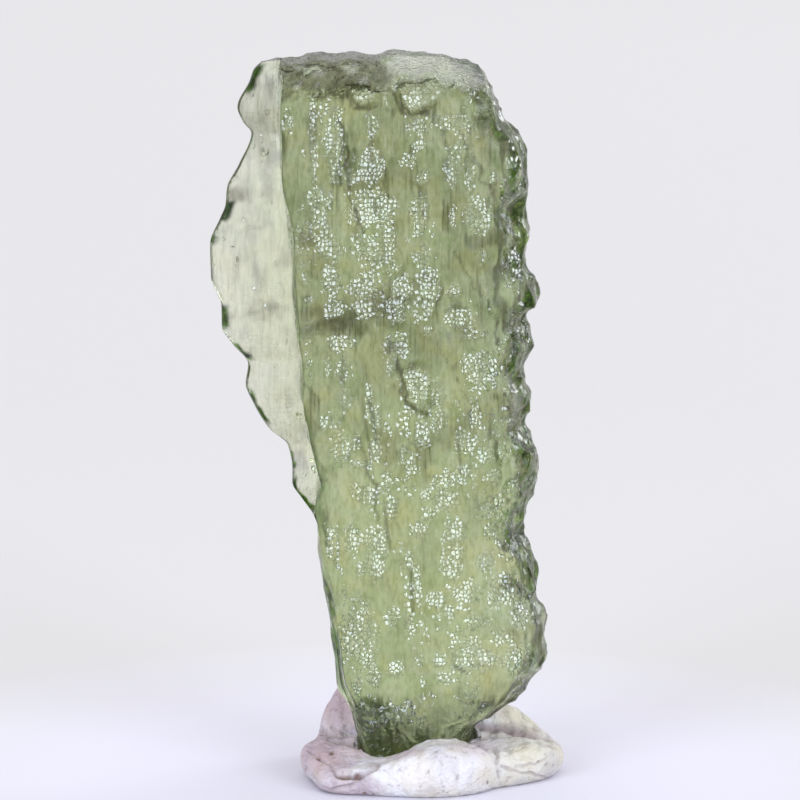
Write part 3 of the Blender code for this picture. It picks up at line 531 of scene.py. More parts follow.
def stain_and_shade_mask(points, slab):
    """How dark and brown the glass is: the greatest of the mottled clouding, listed ellipses
    with wavering edges, grooves, dark lines, the rounded right side, its lower edge, the foot
    and the top. It holds stains and painted shade together: the darkening of the grooves, of
    the rounded right side and of the foot is painted shade."""
    x, _, z = np.moveaxis(points, -1, 0)
    wavy_x, wavy_z = wavering(points, STAIN_WAVER)
    mottled = swells(points, *MOTTLING)
    high_up = rise(wavy_z, 11.0, 16.0)
    stain_and_shade = clouded(points, x, z, slab)
    stain_and_shade = (stain_and_shade + mix(0.15, 0.5, high_up) * rise(mottled, 0.35, 0.9)) * mix(0.15, 1.0, slab)
    for blotch_x, blotch_z, half_width, half_height, strength in BLOTCHES:
        inside = within(wavy_x - blotch_x, wavy_z - blotch_z, half_width, half_height)
        stain_and_shade = np.maximum(stain_and_shade, strength * rise(inside + 0.5 * mottled, 0.0, 1.0))
    # painted shade along the grooves
    for groove in CUTS:
        stain_and_shade = np.maximum(stain_and_shade, cut(x, z, *groove[:4], CUT_SHADE_WIDTH, CUT_SHADE))

    # the rounded right side darker, broken up by mottling: painted shade
    near_rim = rise(from_right(wavy_x + 0.25 * swell(points, 0.5, 58), z), -1.35, -0.7)
    upper_end = rise(z, 20.5, 22.5)
    between = mix(mix(0.35, 0.78, high_up), 0.2, upper_end)
    rim = near_rim * mix(between, mix(0.98, 0.88, upper_end), rise(mottled, -0.5, 0.1))
    # the foot darker, with mottling: painted shade
    foot = fall(wavy_z, 1.9, 4.0) * mix(1.0, 0.6, rise(wavy_x, 1.0, 3.4))
    foot = foot * np.clip(0.5 + 0.65 * mottled, 0.08, 0.88) * mix(0.5, 1.0, rise(z, 1.2, 2.2))
    lower_edge = rise(from_right(wavy_x, z), -0.45, -0.15) * fall(wavy_z, 4.2, 4.6)
    broken = rise(z + 0.1 * swell(points, 0.3, 64), 27.35, 27.75) * slab
    layered = swells(points, *LAYERING)
    left_part = mix(0.94, 1.0, rise(layered, -0.35, 0.15))
    right_part = 0.45 * rise(layered, 0.5, 0.8)
    top = broken * mix(left_part, right_part, rise(wavy_x, *TOP_HALVES))
    marks = [stain_and_shade, dark_lines(points, mottled), rim, foot, 0.95 * lower_edge, top]
    return np.clip(np.maximum.reduce(marks), 0, 1)


def shade_mask(points, normals, bent):
    """How dark the relief's slopes look: how far the surface turns from the smooth stone,
    more where it turns up or to the right, and most on the rounded right side."""
    turn = bent - normals
    steep = np.linalg.norm(turn, axis=-1) + turn @ np.array((0.25, 0.0, 0.45))
    to_rim = rise(from_right(points[..., 0], points[..., 2]), -1.6, -0.6)
    edge_on = rise(normals[..., 0], 0.7, 0.92)
    edge_on = edge_on * rise(swell(points, (0.5, 0.6, 0.45), 68), -0.5, 0.1)
    slopes = rise(steep * mix(1.0, 1.5, to_rim), 0.22, 0.75) * mix(0.7, 1.0, to_rim)
    return np.maximum(slopes, 0.92 * edge_on)


def pale_and_sheen_mask(points, normals):
    """Where the skin is pale, with painted sheen: the weathered front of the broken top, the
    foot, and patches of the rounded right side that face right, whose lightening is a painted
    highlight."""
    x, _, z = np.moveaxis(points, -1, 0)
    ragged = swells(points, *RAGGED_SKIN)
    facing_front = -normals[..., 1]
    high = rise(z + 0.6 * ragged, 27.5, 27.8) * rise(facing_front, 0.02, 0.15)
    # the right part of the top and the listed streaks: pale skin with painted sheen
    weathered = rise(x + ragged, -0.1, 0.4)
    for streak_x, streak_z, half_width, half_height in PALE_SHEEN_STREAKS:
        inside = within(x - streak_x, z + 0.3 * ragged - streak_z, half_width, half_height)
        weathered = np.maximum(weathered, rise(inside, 0.0, 0.4))
    # painted sheen on the foot
    foot_sheen = 0.42 * fall(z - ragged, 2.3, 3.5) * rise(facing_front, 0.1, 0.4)
    patches = rise(swells(points, *SHINY_SKIN), 0.15, 0.5)
    # patches facing the light on the right: their lightening is a painted highlight
    shining = 0.85 * patches * rise(normals[..., 0], 0.35, 0.7) * rise(z, 10.0, 13.0)
    return np.maximum.reduce([high * weathered, foot_sheen, shining])


def deep_green_and_edge_shade_mask(points):
    """Where the glass is deep green: listed stretches of the left edge fading inwards, the
    outline and the ledge beside them, and blots on the rounded right side. The line along the
    outline, the line beside the ledge and the blots are painted shade."""
    x, y, z = np.moveaxis(points, -1, 0)
    inwards = x - curve(z, LEFT_SIDE)
    wander = 0.12 * swell(points, 0.3, 56)
    deep = np.zeros(x.shape)
    for height, half_height, reach in EDGE_SPOTS:
        along = rise(1 - np.abs(z - height + wander) / half_height, 0.0, 0.4)
        deep = np.maximum(deep, along * rise(1 - (inwards + wander) / reach, 0.0, 0.5))
    beside_ledge = np.abs(x - curve(z, LEDGE) + 0.04 + 0.3 * wander)
    wide = mix(0.3, 0.12, rise(z, 13.0, 17.0))
    line = rise(z, 9.0, 11.0) * fall(y, -0.6, 0.0) * rise(1 - beside_ledge / wide, 0.0, 0.7)
    outline = rise(1 - inwards / 0.14, 0.0, 0.6) * rise(swell(points, 0.4, 78), -0.6, 0.0)
    blots = rise(swells(points, *RIM_BLOTS), 0.0, 0.35) * mix(0.6, 1.0, rise(z, 7.0, 10.0))
    at_rim = rise(from_right(x, z), -1.2, -0.6) * fall(z, 26.0, 27.2)
    deep = np.maximum.reduce([deep, 0.9 * at_rim * blots, 0.8 * line, 0.8 * outline])
    return deep * mix(0.45, 1.0, rise(z, 2.5, 5.0))


def stone_columns():
    """Shares of the way across each stretch of a level cut: wing, ledge, face and rim."""
    counts = (WING_COLUMNS, LEDGE_COLUMNS, FACE_COLUMNS, RIM_COLUMNS)
    wing, ledge, face, rim = (np.linspace(0, 1, count + 1) for count in counts)
    return wing**WING_BUNCHING, ledge[1:], face[1:], rim[1:] * math.pi / 2


def stone_sheets(z):
    """Level cuts through the stone as functions of height and column.

    Each cut runs from the left edge over the wing (a wedge with a round lip, thinner where it
    is narrow), up the ledge (straight), over the face (a shallow parabola) and round a quarter
    of an ellipse to the right rim. Below the wing's foot the wedge is a rounded flank.
    Returns sideways place, front and back depth, roughness and share of slab.
    """
    z = z[:, None]
    wing, ledge, face, rim = stone_columns()
    has_wing = rise(z, WING_FROM, WING_FULL)
    left, right, ridge = curve(z, LEFT_SIDE), curve(z, RIGHT_SIDE), curve(z, LEDGE)
    slope = LEDGE_SLOPE * mix(1.0, 0.3, rise(z, 25.8, 26.8))
    root = mix(mix(left, ridge, 0.45), ridge - slope, has_wing)
    shoulder = np.maximum(right - SHOULDER_WIDTH, mix(ridge, right, 0.5))

    width = np.tanh((root - left) / WING_WIDE)
    tip_depth = mix(FLANK_TIP_DEPTH, SLAB_BACK_LEFT - WING_LEAN * width, has_wing)
    root_back = mix(FLANK_BACK, SLAB_BACK_LEFT, has_wing)
    root_front = mix(FLANK_FRONT, SLAB_BACK_LEFT - WING_ROOT_THICK * width, has_wing)
    rounded = np.sin(wing * math.pi / 2)
    thick = WING_EDGE_THICK * np.sqrt(np.clip(wing / WING_ROUNDING, 0, 1))
    thick = thick + (WING_ROOT_THICK * width - WING_EDGE_THICK) * wing**WING_SWELLING

    wing_back = mix(tip_depth, root_back, mix(rounded, wing, has_wing))
    wing_front = mix(mix(tip_depth, root_front, rounded), wing_back - thick, has_wing)
    bulge = 4 * face * (1 - face)
    smooth_wing = mix(1.0, WING_ROUGHNESS * wing, has_wing)
    no_wing = 1 - has_wing
    whole = [np.ones(face.shape), np.ones(rim.shape)]
    stretches = (
        [
            mix(left, root, wing), mix(root, ridge, ledge), mix(ridge, shoulder, face),
            mix(shoulder, right, np.sin(rim)),
        ], [
            wing_front, mix(root_front, RIDGE_FRONT, ledge),
            mix(RIDGE_FRONT, SHOULDER_FRONT, face) - FRONT_CROWN * bulge,
            mix(RIM_DEPTH, SHOULDER_FRONT, np.cos(rim)),
        ], [
            wing_back, mix(root_back, SLAB_BACK_LEFT, ledge),
            mix(SLAB_BACK_LEFT, SLAB_BACK_RIGHT, face) + BACK_CROWN * bulge,
            mix(RIM_DEPTH, SLAB_BACK_RIGHT, np.cos(rim)),
        ],
        [smooth_wing, mix(smooth_wing[:, -1:], 1.0, ledge), *whole],
        [no_wing * np.ones(wing.shape), mix(no_wing, 1.0, ledge), *whole],
    )
    return [
        np.hstack([np.broadcast_to(part, (len(z), part.shape[-1])) for part in parts])
        for parts in stretches
    ]


def foot_share(z):
    """Share of its thickness that the stone keeps: less towards the foot."""
    return mix(FOOT_THICKNESS_SHARE, 1.0, rise(z, FOOT - 1.5, FOOT + FOOT_TAPER_HEIGHT))


def bow(z):
    """How far back the stone bows: a parabola, 0 halfway up."""
    return BOW * ((z - (FOOT + CROWN) / 2) / (CROWN / 2)) ** 2


def closed(on_front, on_back):
    """A ring of the front columns and every second back column, the other way."""
    return np.concatenate([on_front, on_back[:, 2:-1:2][:, ::-1]], 1)


def stone_rings():
    """The smooth stone as closed level rings of points, with roughness and share of slab: the
    ends follow the top and foot outlines, and the front slopes back above the bevel's start."""
    z = np.linspace(FOOT, CROWN, STONE_ROWS)
    x, front, back, rough, on_slab = stone_sheets(z)
    z = np.broadcast_to(z[:, None], x.shape)
    top = curve(x, TOP_EDGE)
    z = z + rise(z, CROWN - TOP_BLEND, CROWN) * (top - CROWN)
    z = z + fall(z, FOOT, FOOT + FOOT_BLEND) * (curve(x, FOOT_EDGE) - FOOT)
    waver = 0.3 * swell(np.stack([x, np.zeros(x.shape), z], -1), (0.55, 1.0, 0.8), 65)
    bevel = np.clip((top - z) / (top - curve(x, BEVEL_START) - waver), 0, 1)
    half = (back - front) / 2 * foot_share(z)
    near_top = np.clip(1 - (top - z) / BACK_ROUNDING_HEIGHT, 0, 1)
    back = (front + back) / 2 + half + bow(z)
    top_share = mix(TOP_SHARE_LEFT, TOP_SHARE_RIGHT, rise(x, -0.8, 0.4))
    front = back - 2 * half * mix(1.0, mix(top_share, 1.0, bevel), on_slab)
    back = back - BACK_ROUNDING * near_top**2 * np.clip(half, 0, 1)
    for at_end in (rise(z, FOOT, FOOT + CALM_END), fall(z, CROWN - CALM_END, CROWN)):
        rough = rough * mix(CALM_SHARE, 1.0, at_end)
    rings = closed(np.stack([x, front, z], -1), np.stack([x, back, z], -1))
    return rings, closed(rough, rough), closed(on_slab, on_slab)


def ring_normals(rings):
    """Outward unit normals: the cross product of the way round the ring and the way up."""
    around = np.roll(rings, -1, 1) - np.roll(rings, 1, 1)
    normal = np.cross(around, np.gradient(rings, axis=0))
    return normal / np.maximum(np.linalg.norm(normal, axis=-1, keepdims=True), 1e-12)


def grain_mask(points, normals):
    """Where the etched grain is strong, and how the surface tilts there.

    The mask is 1 within listed ellipses and in the peaks of an upright lattice noise. The
    tilt is a plane through each ellipse's centre times one minus its squared distance.
    """
    facing_front = np.clip(-normals[..., 1], 0, 1)
    random = swells(points, (1, PATCH_SIZE, 21), (0.6, np.array(PATCH_SIZE) / 2, 22))
    mask = 0.5 * rise(random, 0.15, 0.7)
    tilt = np.zeros(mask.shape)
    x = points[..., 0] + LEAN * points[..., 2] + 0.07 * swell(points, (0.25, 0.4, 0.25), 23)
    z = points[..., 2] + 0.12 * swell(points, (0.25, 0.4, 0.35), 24)
    for number, (patch_x, patch_z, half_width, half_height) in enumerate(GLINT_PATCHES):
        across, up = x - patch_x, z - patch_z
        reach = PATCH_REACH_LOW if patch_z < PATCH_LOW else PATCH_REACH
        inside = within(across, up, reach * half_width, reach * half_height)
        mask = np.maximum(mask, facing_front * rise(inside, -0.7, 0.55))
        side = PATCH_TILT * (-1) ** number * min(1, PATCH_TILT_REACH / half_width)
        back = PATCH_TILT * min(1, PATCH_TILT_REACH / half_height)
        tilt += np.clip(inside, 0, 1) ** 1.5 * (side * across - back * up)
    return mask, tilt * facing_front


def relief(points, normals, rough, scallop_depth, chip_depth, chip_floor):
    """Outward displacement: wide and fine scallops (squared distances to random sites),
    grooves and swells (lattice noises), paraboloid scoops, chips, a ragged top, knobs on the
    rounded side and, in the etched patches, flatter scallops and a tilt; also the grain mask."""
    leaning = points.copy()
    leaning[..., 0] -= LEAN * points[..., 2]
    x, y, z = np.moveaxis(points, -1, 0)
    facing_front = np.clip(-normals[..., 1], 0, 1)
    facing_right = np.clip(normals[..., 0], 0, 1)
    mask, tilt = grain_mask(leaning, normals)
    out = scallop_depth * cups(points, SCALLOP_SIZE, SCALLOP_SEED)
    out = out + GROOVE_DEPTH * swell(points, GROOVE_SIZE, 11)
    out = out * (1 - GRAIN_FLATTENS * mask * facing_front)
    out = out + SWELL_DEPTH * swell(points, SWELL_SIZE, 3)
    for facing, across, scoops in ((facing_front, x, FRONT_SCOOPS), (facing_right, y, RIM_SCOOPS)):
        for place, height, half_width, half_height, depth in scoops:
            inside = within(across - place, z - height, half_width, half_height)
            out = out - facing * depth * np.clip(inside, 0, 1)
    for groove in CUTS:
        out = out - facing_front * cut(x, z, *groove)
    ragged = RAGGED_DEPTH * mix(1.0, 0.45, rise(x, -0.6, 0.3)) * cups(points, RAGGED_SIZE, 19)
    out = out + ragged * rise(z, 27.3, 27.8) * facing_front * (1 - chip_floor) - chip_depth
    out = out + FINE_SCALLOP_DEPTH * cups(leaning, FINE_SCALLOP_SIZE, 13)
    out = out + FINE_GROOVE_DEPTH * swell(leaning, FINE_GROOVE_SIZE, 15)
    out = out + RIM_KNOB_DEPTH * rise(facing_right, 0.2, 0.7) * cups(points, RIM_KNOB_SIZE, 17)
    return (out + tilt) * rough, mask


def grid_faces(rows, columns):
    """Quads of a grid numbered row by row, with the last column joined to the first."""
    row = np.arange(rows - 1)[:, None] * columns
    column = np.arange(columns)
    after = (column + 1) % columns
    quads = [row + column, row + after, row + columns + after, row + columns + column]
    return np.stack(quads, -1).reshape(-1, 4)


def strip_faces(lower, upper):
    """Quads between two equally long runs of vertex numbers."""
    return np.stack([lower[:-1], lower[1:], upper[1:], upper[:-1]], -1)


def stone_caps(rings, row, lift, seed):
    """Rows of points from the front edge to the back edge of an end, arched and lumpy."""
    count = FRONT_COLUMNS + 1
    front = rings[row, :count]
    back_half = np.concatenate([front[:1], rings[row, count:][::-1], front[-1:]])
    columns, known = np.linspace(0, 1, count), np.linspace(0, 1, len(back_half))
    back = np.stack([np.interp(columns, known, back_half[:, i]) for i in range(3)], -1)
    shares = np.linspace(0, 1, CAP_ROWS + 2)[1:-1, None, None]
    thick = np.linalg.norm(back - front, axis=-1)
    arch = np.clip(thick / CAP_BULGE_FULL, 0, 1) * np.sin(math.pi * shares[..., 0])
    points = mix(front, back, shares)
    points[..., 2] += lift * arch
    points[..., 2] += swells(points, (0.1, 0.5, seed), (0.05, 0.2, seed + 1)) * arch
    return points


def cap_faces(front, back, first, rows):
    """Quads up the cap's rows, then a ladder of triangles to the back edge, which has half
    as many points."""
    count = len(front)
    inner = first + np.arange(rows * count).reshape(rows, count)
    quads = [strip_faces(front, inner[0])]
    quads += [strip_faces(inner[i], inner[i + 1]) for i in range(rows - 1)]
    left, middle, right = inner[-1][:-1:2], inner[-1][1::2], inner[-1][2::2]
    ladder = [np.stack(corners, -1) for corners in (
        (left, middle, back[:-1]), (middle, back[1:], back[:-1]), (middle, right, back[1:]),
    )]
    return np.concatenate(quads), np.concatenate(ladder)


def mesh_from(name, points, quads, triangles, values):
    """A welded, outward-facing smooth mesh from point and face arrays, with named values."""
    mesh = bpy.data.meshes.new(name)
    loops = np.concatenate([quads.ravel(), triangles.ravel()]).astype(np.int32)
    sizes = np.concatenate([np.full(len(quads), 4), np.full(len(triangles), 3)])
    starts = np.concatenate([[0], np.cumsum(sizes)[:-1]]).astype(np.int32)
    mesh.vertices.add(len(points))
    mesh.vertices.foreach_set("co", (points * MM).astype(np.float32).ravel())
    mesh.loops.add(len(loops))
    mesh.loops.foreach_set("vertex_index", loops)
    mesh.polygons.add(len(sizes))
    mesh.polygons.foreach_set("loop_start", starts)
    mesh.update(calc_edges=True)
    for key, value in values.items():
        layer = mesh.attributes.new(key, "FLOAT", "POINT")
        layer.data.foreach_set("value", value.astype(np.float32).ravel())
    bm = bmesh.new()
    bm.from_mesh(mesh)
    bmesh.ops.remove_doubles(bm, verts=bm.verts, dist=WELD)
    bmesh.ops.dissolve_degenerate(bm, edges=bm.edges, dist=WELD)
    bmesh.ops.recalc_face_normals(bm, faces=bm.faces)
    bm.to_mesh(mesh)
    bm.free()
    mesh.shade_smooth()
    return mesh


def stone_values(smooth, rings, normals, slab, mask, chip_depth, chip_floor, chip_wall):
    """The values the glass reads, each with what the two ends have: a number or an array made
    from how far right their points are."""
    x, _, z = np.moveaxis(smooth, -1, 0)
    # the chips' sharp walls darkened: painted shade
    stain_and_shade = np.maximum(stain_and_shade_mask(smooth, slab), 0.9 * chip_wall) * (1 - 0.6 * chip_floor)
    pale_and_sheen = pale_and_sheen_mask(smooth, normals) * slab
    grain = np.maximum(mask * (1 - pale_and_sheen) * (1 - chip_wall), chip_floor) * mix(0.1, 1.0, slab)
    # painted sheen on the floors of the chips near the top
    pale_and_sheen = np.maximum(pale_and_sheen, 0.75 * chip_floor * rise(z, 24.0, 26.0))
    beside_rim = fall(from_right(x, z), -1.3, -0.7) * fall(z, 27.4, 27.9)
    shade = shade_mask(smooth, normals, ring_normals(rings)) * mix(0.35, 1.0, slab)
    shade = shade * (1 - 0.8 * np.maximum(pale_and_sheen, rise(chip_depth, 0.0, 0.06)))
    waver = 0.1 * swell(rings, 0.3, 64)
    broken = rise(z + waver, 27.2, 27.6) * slab * (1 - chip_floor)
    broken = np.maximum(broken, 0.8 * fall(z - 3 * waver, 2.3, 3.5))
    return {
        "grain": (grain, 0.5, 0.5),
        "stain_and_shade": (stain_and_shade, 0.9, 0.3),
        # deep green, with painted shade along the edges
        "deep": (deep_green_and_edge_shade_mask(smooth), 0, 0),
        "pale_and_sheen": (pale_and_sheen, 0.5, 0.9),
        "frost": (mix(0.2, 1.0, slab * beside_rim), 1, 1),
        "shade": (shade, 0.3, 0.3),
        "wing": (1 - slab, 0, 0),
        "broken": (broken * mix(1.0, 0.4, rise(x, *TOP_HALVES)), 1, 1),
    }


def stone_mesh(scallop_depth):
    """The stone: level rings moved along their normals by the relief, closed at both ends."""
    smooth, rough, slab = stone_rings()
    normals = ring_normals(smooth)
    chip_depth, chip_floor, chip_wall = chips(smooth, normals)
    out, mask = relief(smooth, normals, rough, scallop_depth, chip_depth, chip_floor)
    rings = smooth + normals * out[..., None]
    values = stone_values(smooth, rings, normals, slab, mask, chip_depth, chip_floor, chip_wall)
    count = FRONT_COLUMNS + 1
    numbers = np.arange(slab.size).reshape(slab.shape)
    points, quads, triangles = [rings.reshape(-1, 3)], [grid_faces(*slab.shape)], []
    first = slab.size
    for row, lift, seed in ((-1, CAP_BULGE, 31), (0, -CAP_BULGE, 33)):
        cap, edge = stone_caps(rings, row, lift, seed), numbers[row]
        back = np.concatenate([edge[:1], edge[count:][::-1], edge[count - 1 : count]])
        cap_quads, ladder = cap_faces(edge[:count], back, first, len(cap))
        points.append(cap.reshape(-1, 3))
        quads.append(cap_quads)
        triangles.append(ladder)
        first += cap[..., 0].size
    points = np.concatenate(points)
    to_right = rise(points[slab.size :, 0], *TOP_HALVES)
    values = {
        key: np.concatenate([on_rings.ravel(), mix(left, right, to_right)])
        for key, (on_rings, left, right) in values.items()
    }
    return mesh_from("Stone", points, np.concatenate(quads), np.concatenate(triangles), values)


def spots(across, seen, places, power):
    """Greatest, over the listed ellipses, of strength times (1 - squared distance) to a power."""
    out = np.zeros(across.shape)
    for x, v, half_width, half_height, strength in places:
        inside = within(across - x, seen - v, half_width, half_height)
        out = np.maximum(out, strength * np.clip(inside, 0, 1) ** power)
    return out


def folds(across, seen):
    """Depth of the creases: a bell curve of the distance to each run of segments, less a low
    swelling on either side."""
    out = np.zeros(across.shape)
    for width, depth, places in CREASES:
        nearest = to_line(across, seen, places) / width
        out = np.maximum(out, depth * np.exp(-(nearest**2)))
        out = out - BANK_SHARE * depth * np.exp(-((nearest - BANK_AT) ** 2))
    return out


def socket_distance(points):
    """Distance outside the stone's foot, seen from above: negative within its outline."""
    x, y = points[..., 0], points[..., 1]
    across, front, back, _, _ = stone_sheets(np.array([SOCKET_LEVEL]))
    half = (back[0] - front[0]) / 2 * foot_share(SOCKET_LEVEL)
    middle = (front[0] + back[0]) / 2 + bow(SOCKET_LEVEL)
    to_front = np.interp(x, across[0], middle - half) - y
    to_back = y - np.interp(x, across[0], middle + half)
    return np.maximum.reduce([to_front, to_back, across[0, 0] - x, x - across[0, -1]])


def putty_rings():
    """The smooth putty: a star-shaped lump's rings, from its middle out over the crest and
    round half an ellipse to the underside."""
    angle = np.linspace(-180, 180, PUTTY_SPOKES, endpoint=False)[None, :]
    angles, *columns = zip(*PUTTY_ROUND)
    reach, crest, crest_at = (curve(angle, list(zip(angles, column))) for column in columns)
    inner = np.linspace(0, 1, PUTTY_TOP_RINGS + 1)[1:, None]
    outer = np.linspace(0, math.pi, PUTTY_SIDE_RINGS + 2)[1:, None]
    round_side = np.sin(outer)
    share_out = crest_at + (1 - crest_at) * round_side**0.8
    tucked = mix(PUTTY_UNDERSIDE_SHARE, 1, round_side)
    share_out = np.where(outer > math.pi / 2, tucked, share_out)
    share = np.concatenate([inner * crest_at, share_out])
    hollow = mix(PUTTY_HOLLOW, crest, rise(inner, 0.1, 0.7))
    height = np.concatenate([hollow, crest * (1 + np.cos(outer)) / 2])
    turn = np.radians(angle)
    x = PUTTY_CENTRE[0] + share * reach * np.cos(turn)
    y = PUTTY_CENTRE[1] + share * reach * np.sin(turn)
    return np.stack([x, y, height], -1)


def putty_mesh():
    """The putty: its rings with lumps, folds, dents, a flat underside and a socket round the
    stone's foot, closed by two fans."""
    points = putty_rings()
    outward = -ring_normals(points)
    height = points[..., 2].copy()
    lumps = swells(points, *PUTTY_LUMPS)
    across = points[..., 0] + 0.1 * swell(points, 0.5, 81)
    seen = VIEW_UP * height + VIEW_DEPTH * points[..., 1] + 0.1 * swell(points, 0.5, 82)
    to_viewer = rise(VIEW_DEPTH * outward[..., 2] - VIEW_UP * outward[..., 1], 0.0, 0.3)
    crease = folds(across, seen)
    pressed = crease + sum(spots(across, seen, [dent], 1.0) for dent in DENTS)
    points[..., 2] += lumps * rise(height, 0.0, 1.0)
    points = points - outward * (pressed * rise(height, 0.02, 0.35) * to_viewer)[..., None]
    inside = fall(socket_distance(points), SOCKET_GAP, SOCKET_GAP + SOCKET_WALL)
    floored = np.minimum(points[..., 2], mix(points[..., 2], SOCKET_FLOOR, inside))
    points[..., 2] = np.maximum(floored, 0.0)
    points[-1, :, 2] = 0.0

    ends = np.array([[*PUTTY_CENTRE, SOCKET_FLOOR], [*PUTTY_CENTRE, 0.0]])
    flat = np.concatenate([points.reshape(-1, 3), ends])
    spoke = np.arange(PUTTY_SPOKES)
    after = (spoke + 1) % PUTTY_SPOKES
    last = (len(points) - 1) * PUTTY_SPOKES
    middle, under = (np.full(PUTTY_SPOKES, len(flat) - place) for place in (2, 1))
    fans = np.concatenate([
        np.stack([middle, spoke, after], -1), np.stack([under, last + after, last + spoke], -1),
    ])
    values = {
        "pink_and_shade": spots(across, seen, PINK_AND_SHADE, 0.6),
        "cream": spots(across, seen, CREAM, 0.6),
        "grit_and_shade": spots(across, seen, GRIT_AND_SHADE, 0.4),
        # painted shade in the folds that face the viewer
        "crease": np.clip(crease / CREASE_FULL, 0, 1) * to_viewer,
    }
    values = {key: np.append(value.ravel(), [0, 0]) for key, value in values.items()}
    return mesh_from("Putty", flat, grid_faces(*across.shape), fans, values)


# ---- materials
class Wiring:
    """A new material, with short ways to add shader nodes and join them up."""

    def __init__(self, name):
        self.material = bpy.data.materials.new(name)
        self.material.use_nodes = True
        self.nodes = self.material.node_tree.nodes
        self.shader = self.nodes["Principled BSDF"]

    def feed(self, node, inputs):
        """Set inputs, by name or number: link another node's output, or store a plain value."""
        for key, value in inputs.items():
            socket = node.inputs[key]
            if isinstance(value, bpy.types.NodeSocket):
                self.material.node_tree.links.new(value, socket)
            elif socket.type == "RGBA":
                socket.default_value = (*value, 1.0)
            else:
                socket.default_value = value

    def node(self, kind, inputs, **settings):
        """A new node's outputs, once it has its settings and inputs."""
        node = self.nodes.new("ShaderNode" + kind)
        for key, value in settings.items():
            setattr(node, key, value)
        self.feed(node, inputs)
        return node.outputs

    def place(self, scale=(1, 1, 1)):
        """Object coordinates in millimetres, stretched by scale."""
        scale = [s / MM for s in scale]
        vector = self.node("TexCoord", {})["Object"]
        return self.node("Mapping", {"Vector": vector, "Scale": scale})["Vector"]

    def noise(self, vector, scale, detail, distortion=0.0):
        inputs = {"Vector": vector, "Scale": scale, "Detail": detail, "Distortion": distortion}
        return self.node("TexNoise", inputs)["Fac"]

    def ramp(self, factor, stops):
        """A colour ramp with (place, colour) stops; a plain number stands for a grey."""
        out = self.node("ValToRGB", {"Fac": factor})["Color"]
        elements = out.node.color_ramp.elements
        while len(elements) < len(stops):
            elements.new(0.5)
        for element, (place, colour) in zip(elements, stops):
            element.position = place
            grey = isinstance(colour, (int, float))
            element.color = (colour, colour, colour, 1.0) if grey else (*colour, 1.0)
        return out

    def math(self, operation, *values, **settings):
        inputs = dict(enumerate(values))
        return self.node("Math", inputs, operation=operation, **settings)["Value"]

    def times(self, a, b):
        return self.math("MULTIPLY", a, b)

    def times_plus(self, a, b, c):
        return self.math("MULTIPLY_ADD", a, b, c)

    def attribute(self, name):
        """A value stored on the mesh."""
        return self.node("Attribute", {}, attribute_name=name)["Fac"]

    def blend(self, factor, a, b):
        """Colour a where the factor is 0, b where it is 1."""
        inputs = {"Factor": factor, "A": a, "B": b}
        return self.node("Mix", inputs, data_type="RGBA")["Result"]

    def multiply(self, factor, a, b):
        """Colour a where the factor is 0, a times b where it is 1."""
        inputs = {"Factor": factor, "A": a, "B": b}
        return self.node("Mix", inputs, data_type="RGBA", blend_type="MULTIPLY")["Result"]

    def bump(self, height, distance):
        return self.node("Bump", {"Height": height, "Distance": distance})["Normal"]


def etched_grain(wiring, settings):
    """Height of the etched grain in grain widths, nearness to a cell's middle, and which
    cells are etched: more of them where the stone's grain value is high.

    Every cell is a small slope leaning to one side and up, a little domed, which fades to
    nothing at the cell's border.
    """
    size = settings.grain_width / MM
    cells = wiring.place((1 / size, 0.4 / size, 0.9 / size))
    inputs = {"Vector": cells, "Scale": 1.0, "Randomness": 0.75}
    nearest = wiring.node("TexVoronoi", inputs)
    border = wiring.node("TexVoronoi", inputs, feature="DISTANCE_TO_EDGE")["Distance"]
    inputs = {0: cells, 1: nearest["Position"]}
    offset = wiring.node("VectorMath", inputs, operation="SUBTRACT")["Vector"]
    offset = wiring.node("SeparateXYZ", {"Vector": offset})
    chance = wiring.node("SeparateColor", {"Color": nearest["Color"]})
    side = wiring.math("GREATER_THAN", chance["Red"], 0.5)
    side = wiring.times_plus(side, 2 * settings.facet_side, -settings.facet_side)
    height = wiring.times_plus(offset["Z"], -settings.facet_up, wiring.times(offset["X"], side))
    dome = wiring.math("POWER", nearest["Distance"], 2.0)
    height = wiring.times_plus(dome, -settings.facet_dome, height)
    inputs = {"Value": border, "From Max": GRAIN_BORDER}
    inside = wiring.node("MapRange", inputs, interpolation_type="SMOOTHSTEP")["Result"]
    etched = wiring.math("GREATER_THAN", wiring.attribute("grain"), chance["Green"])
    return wiring.times(height, inside), inside, etched


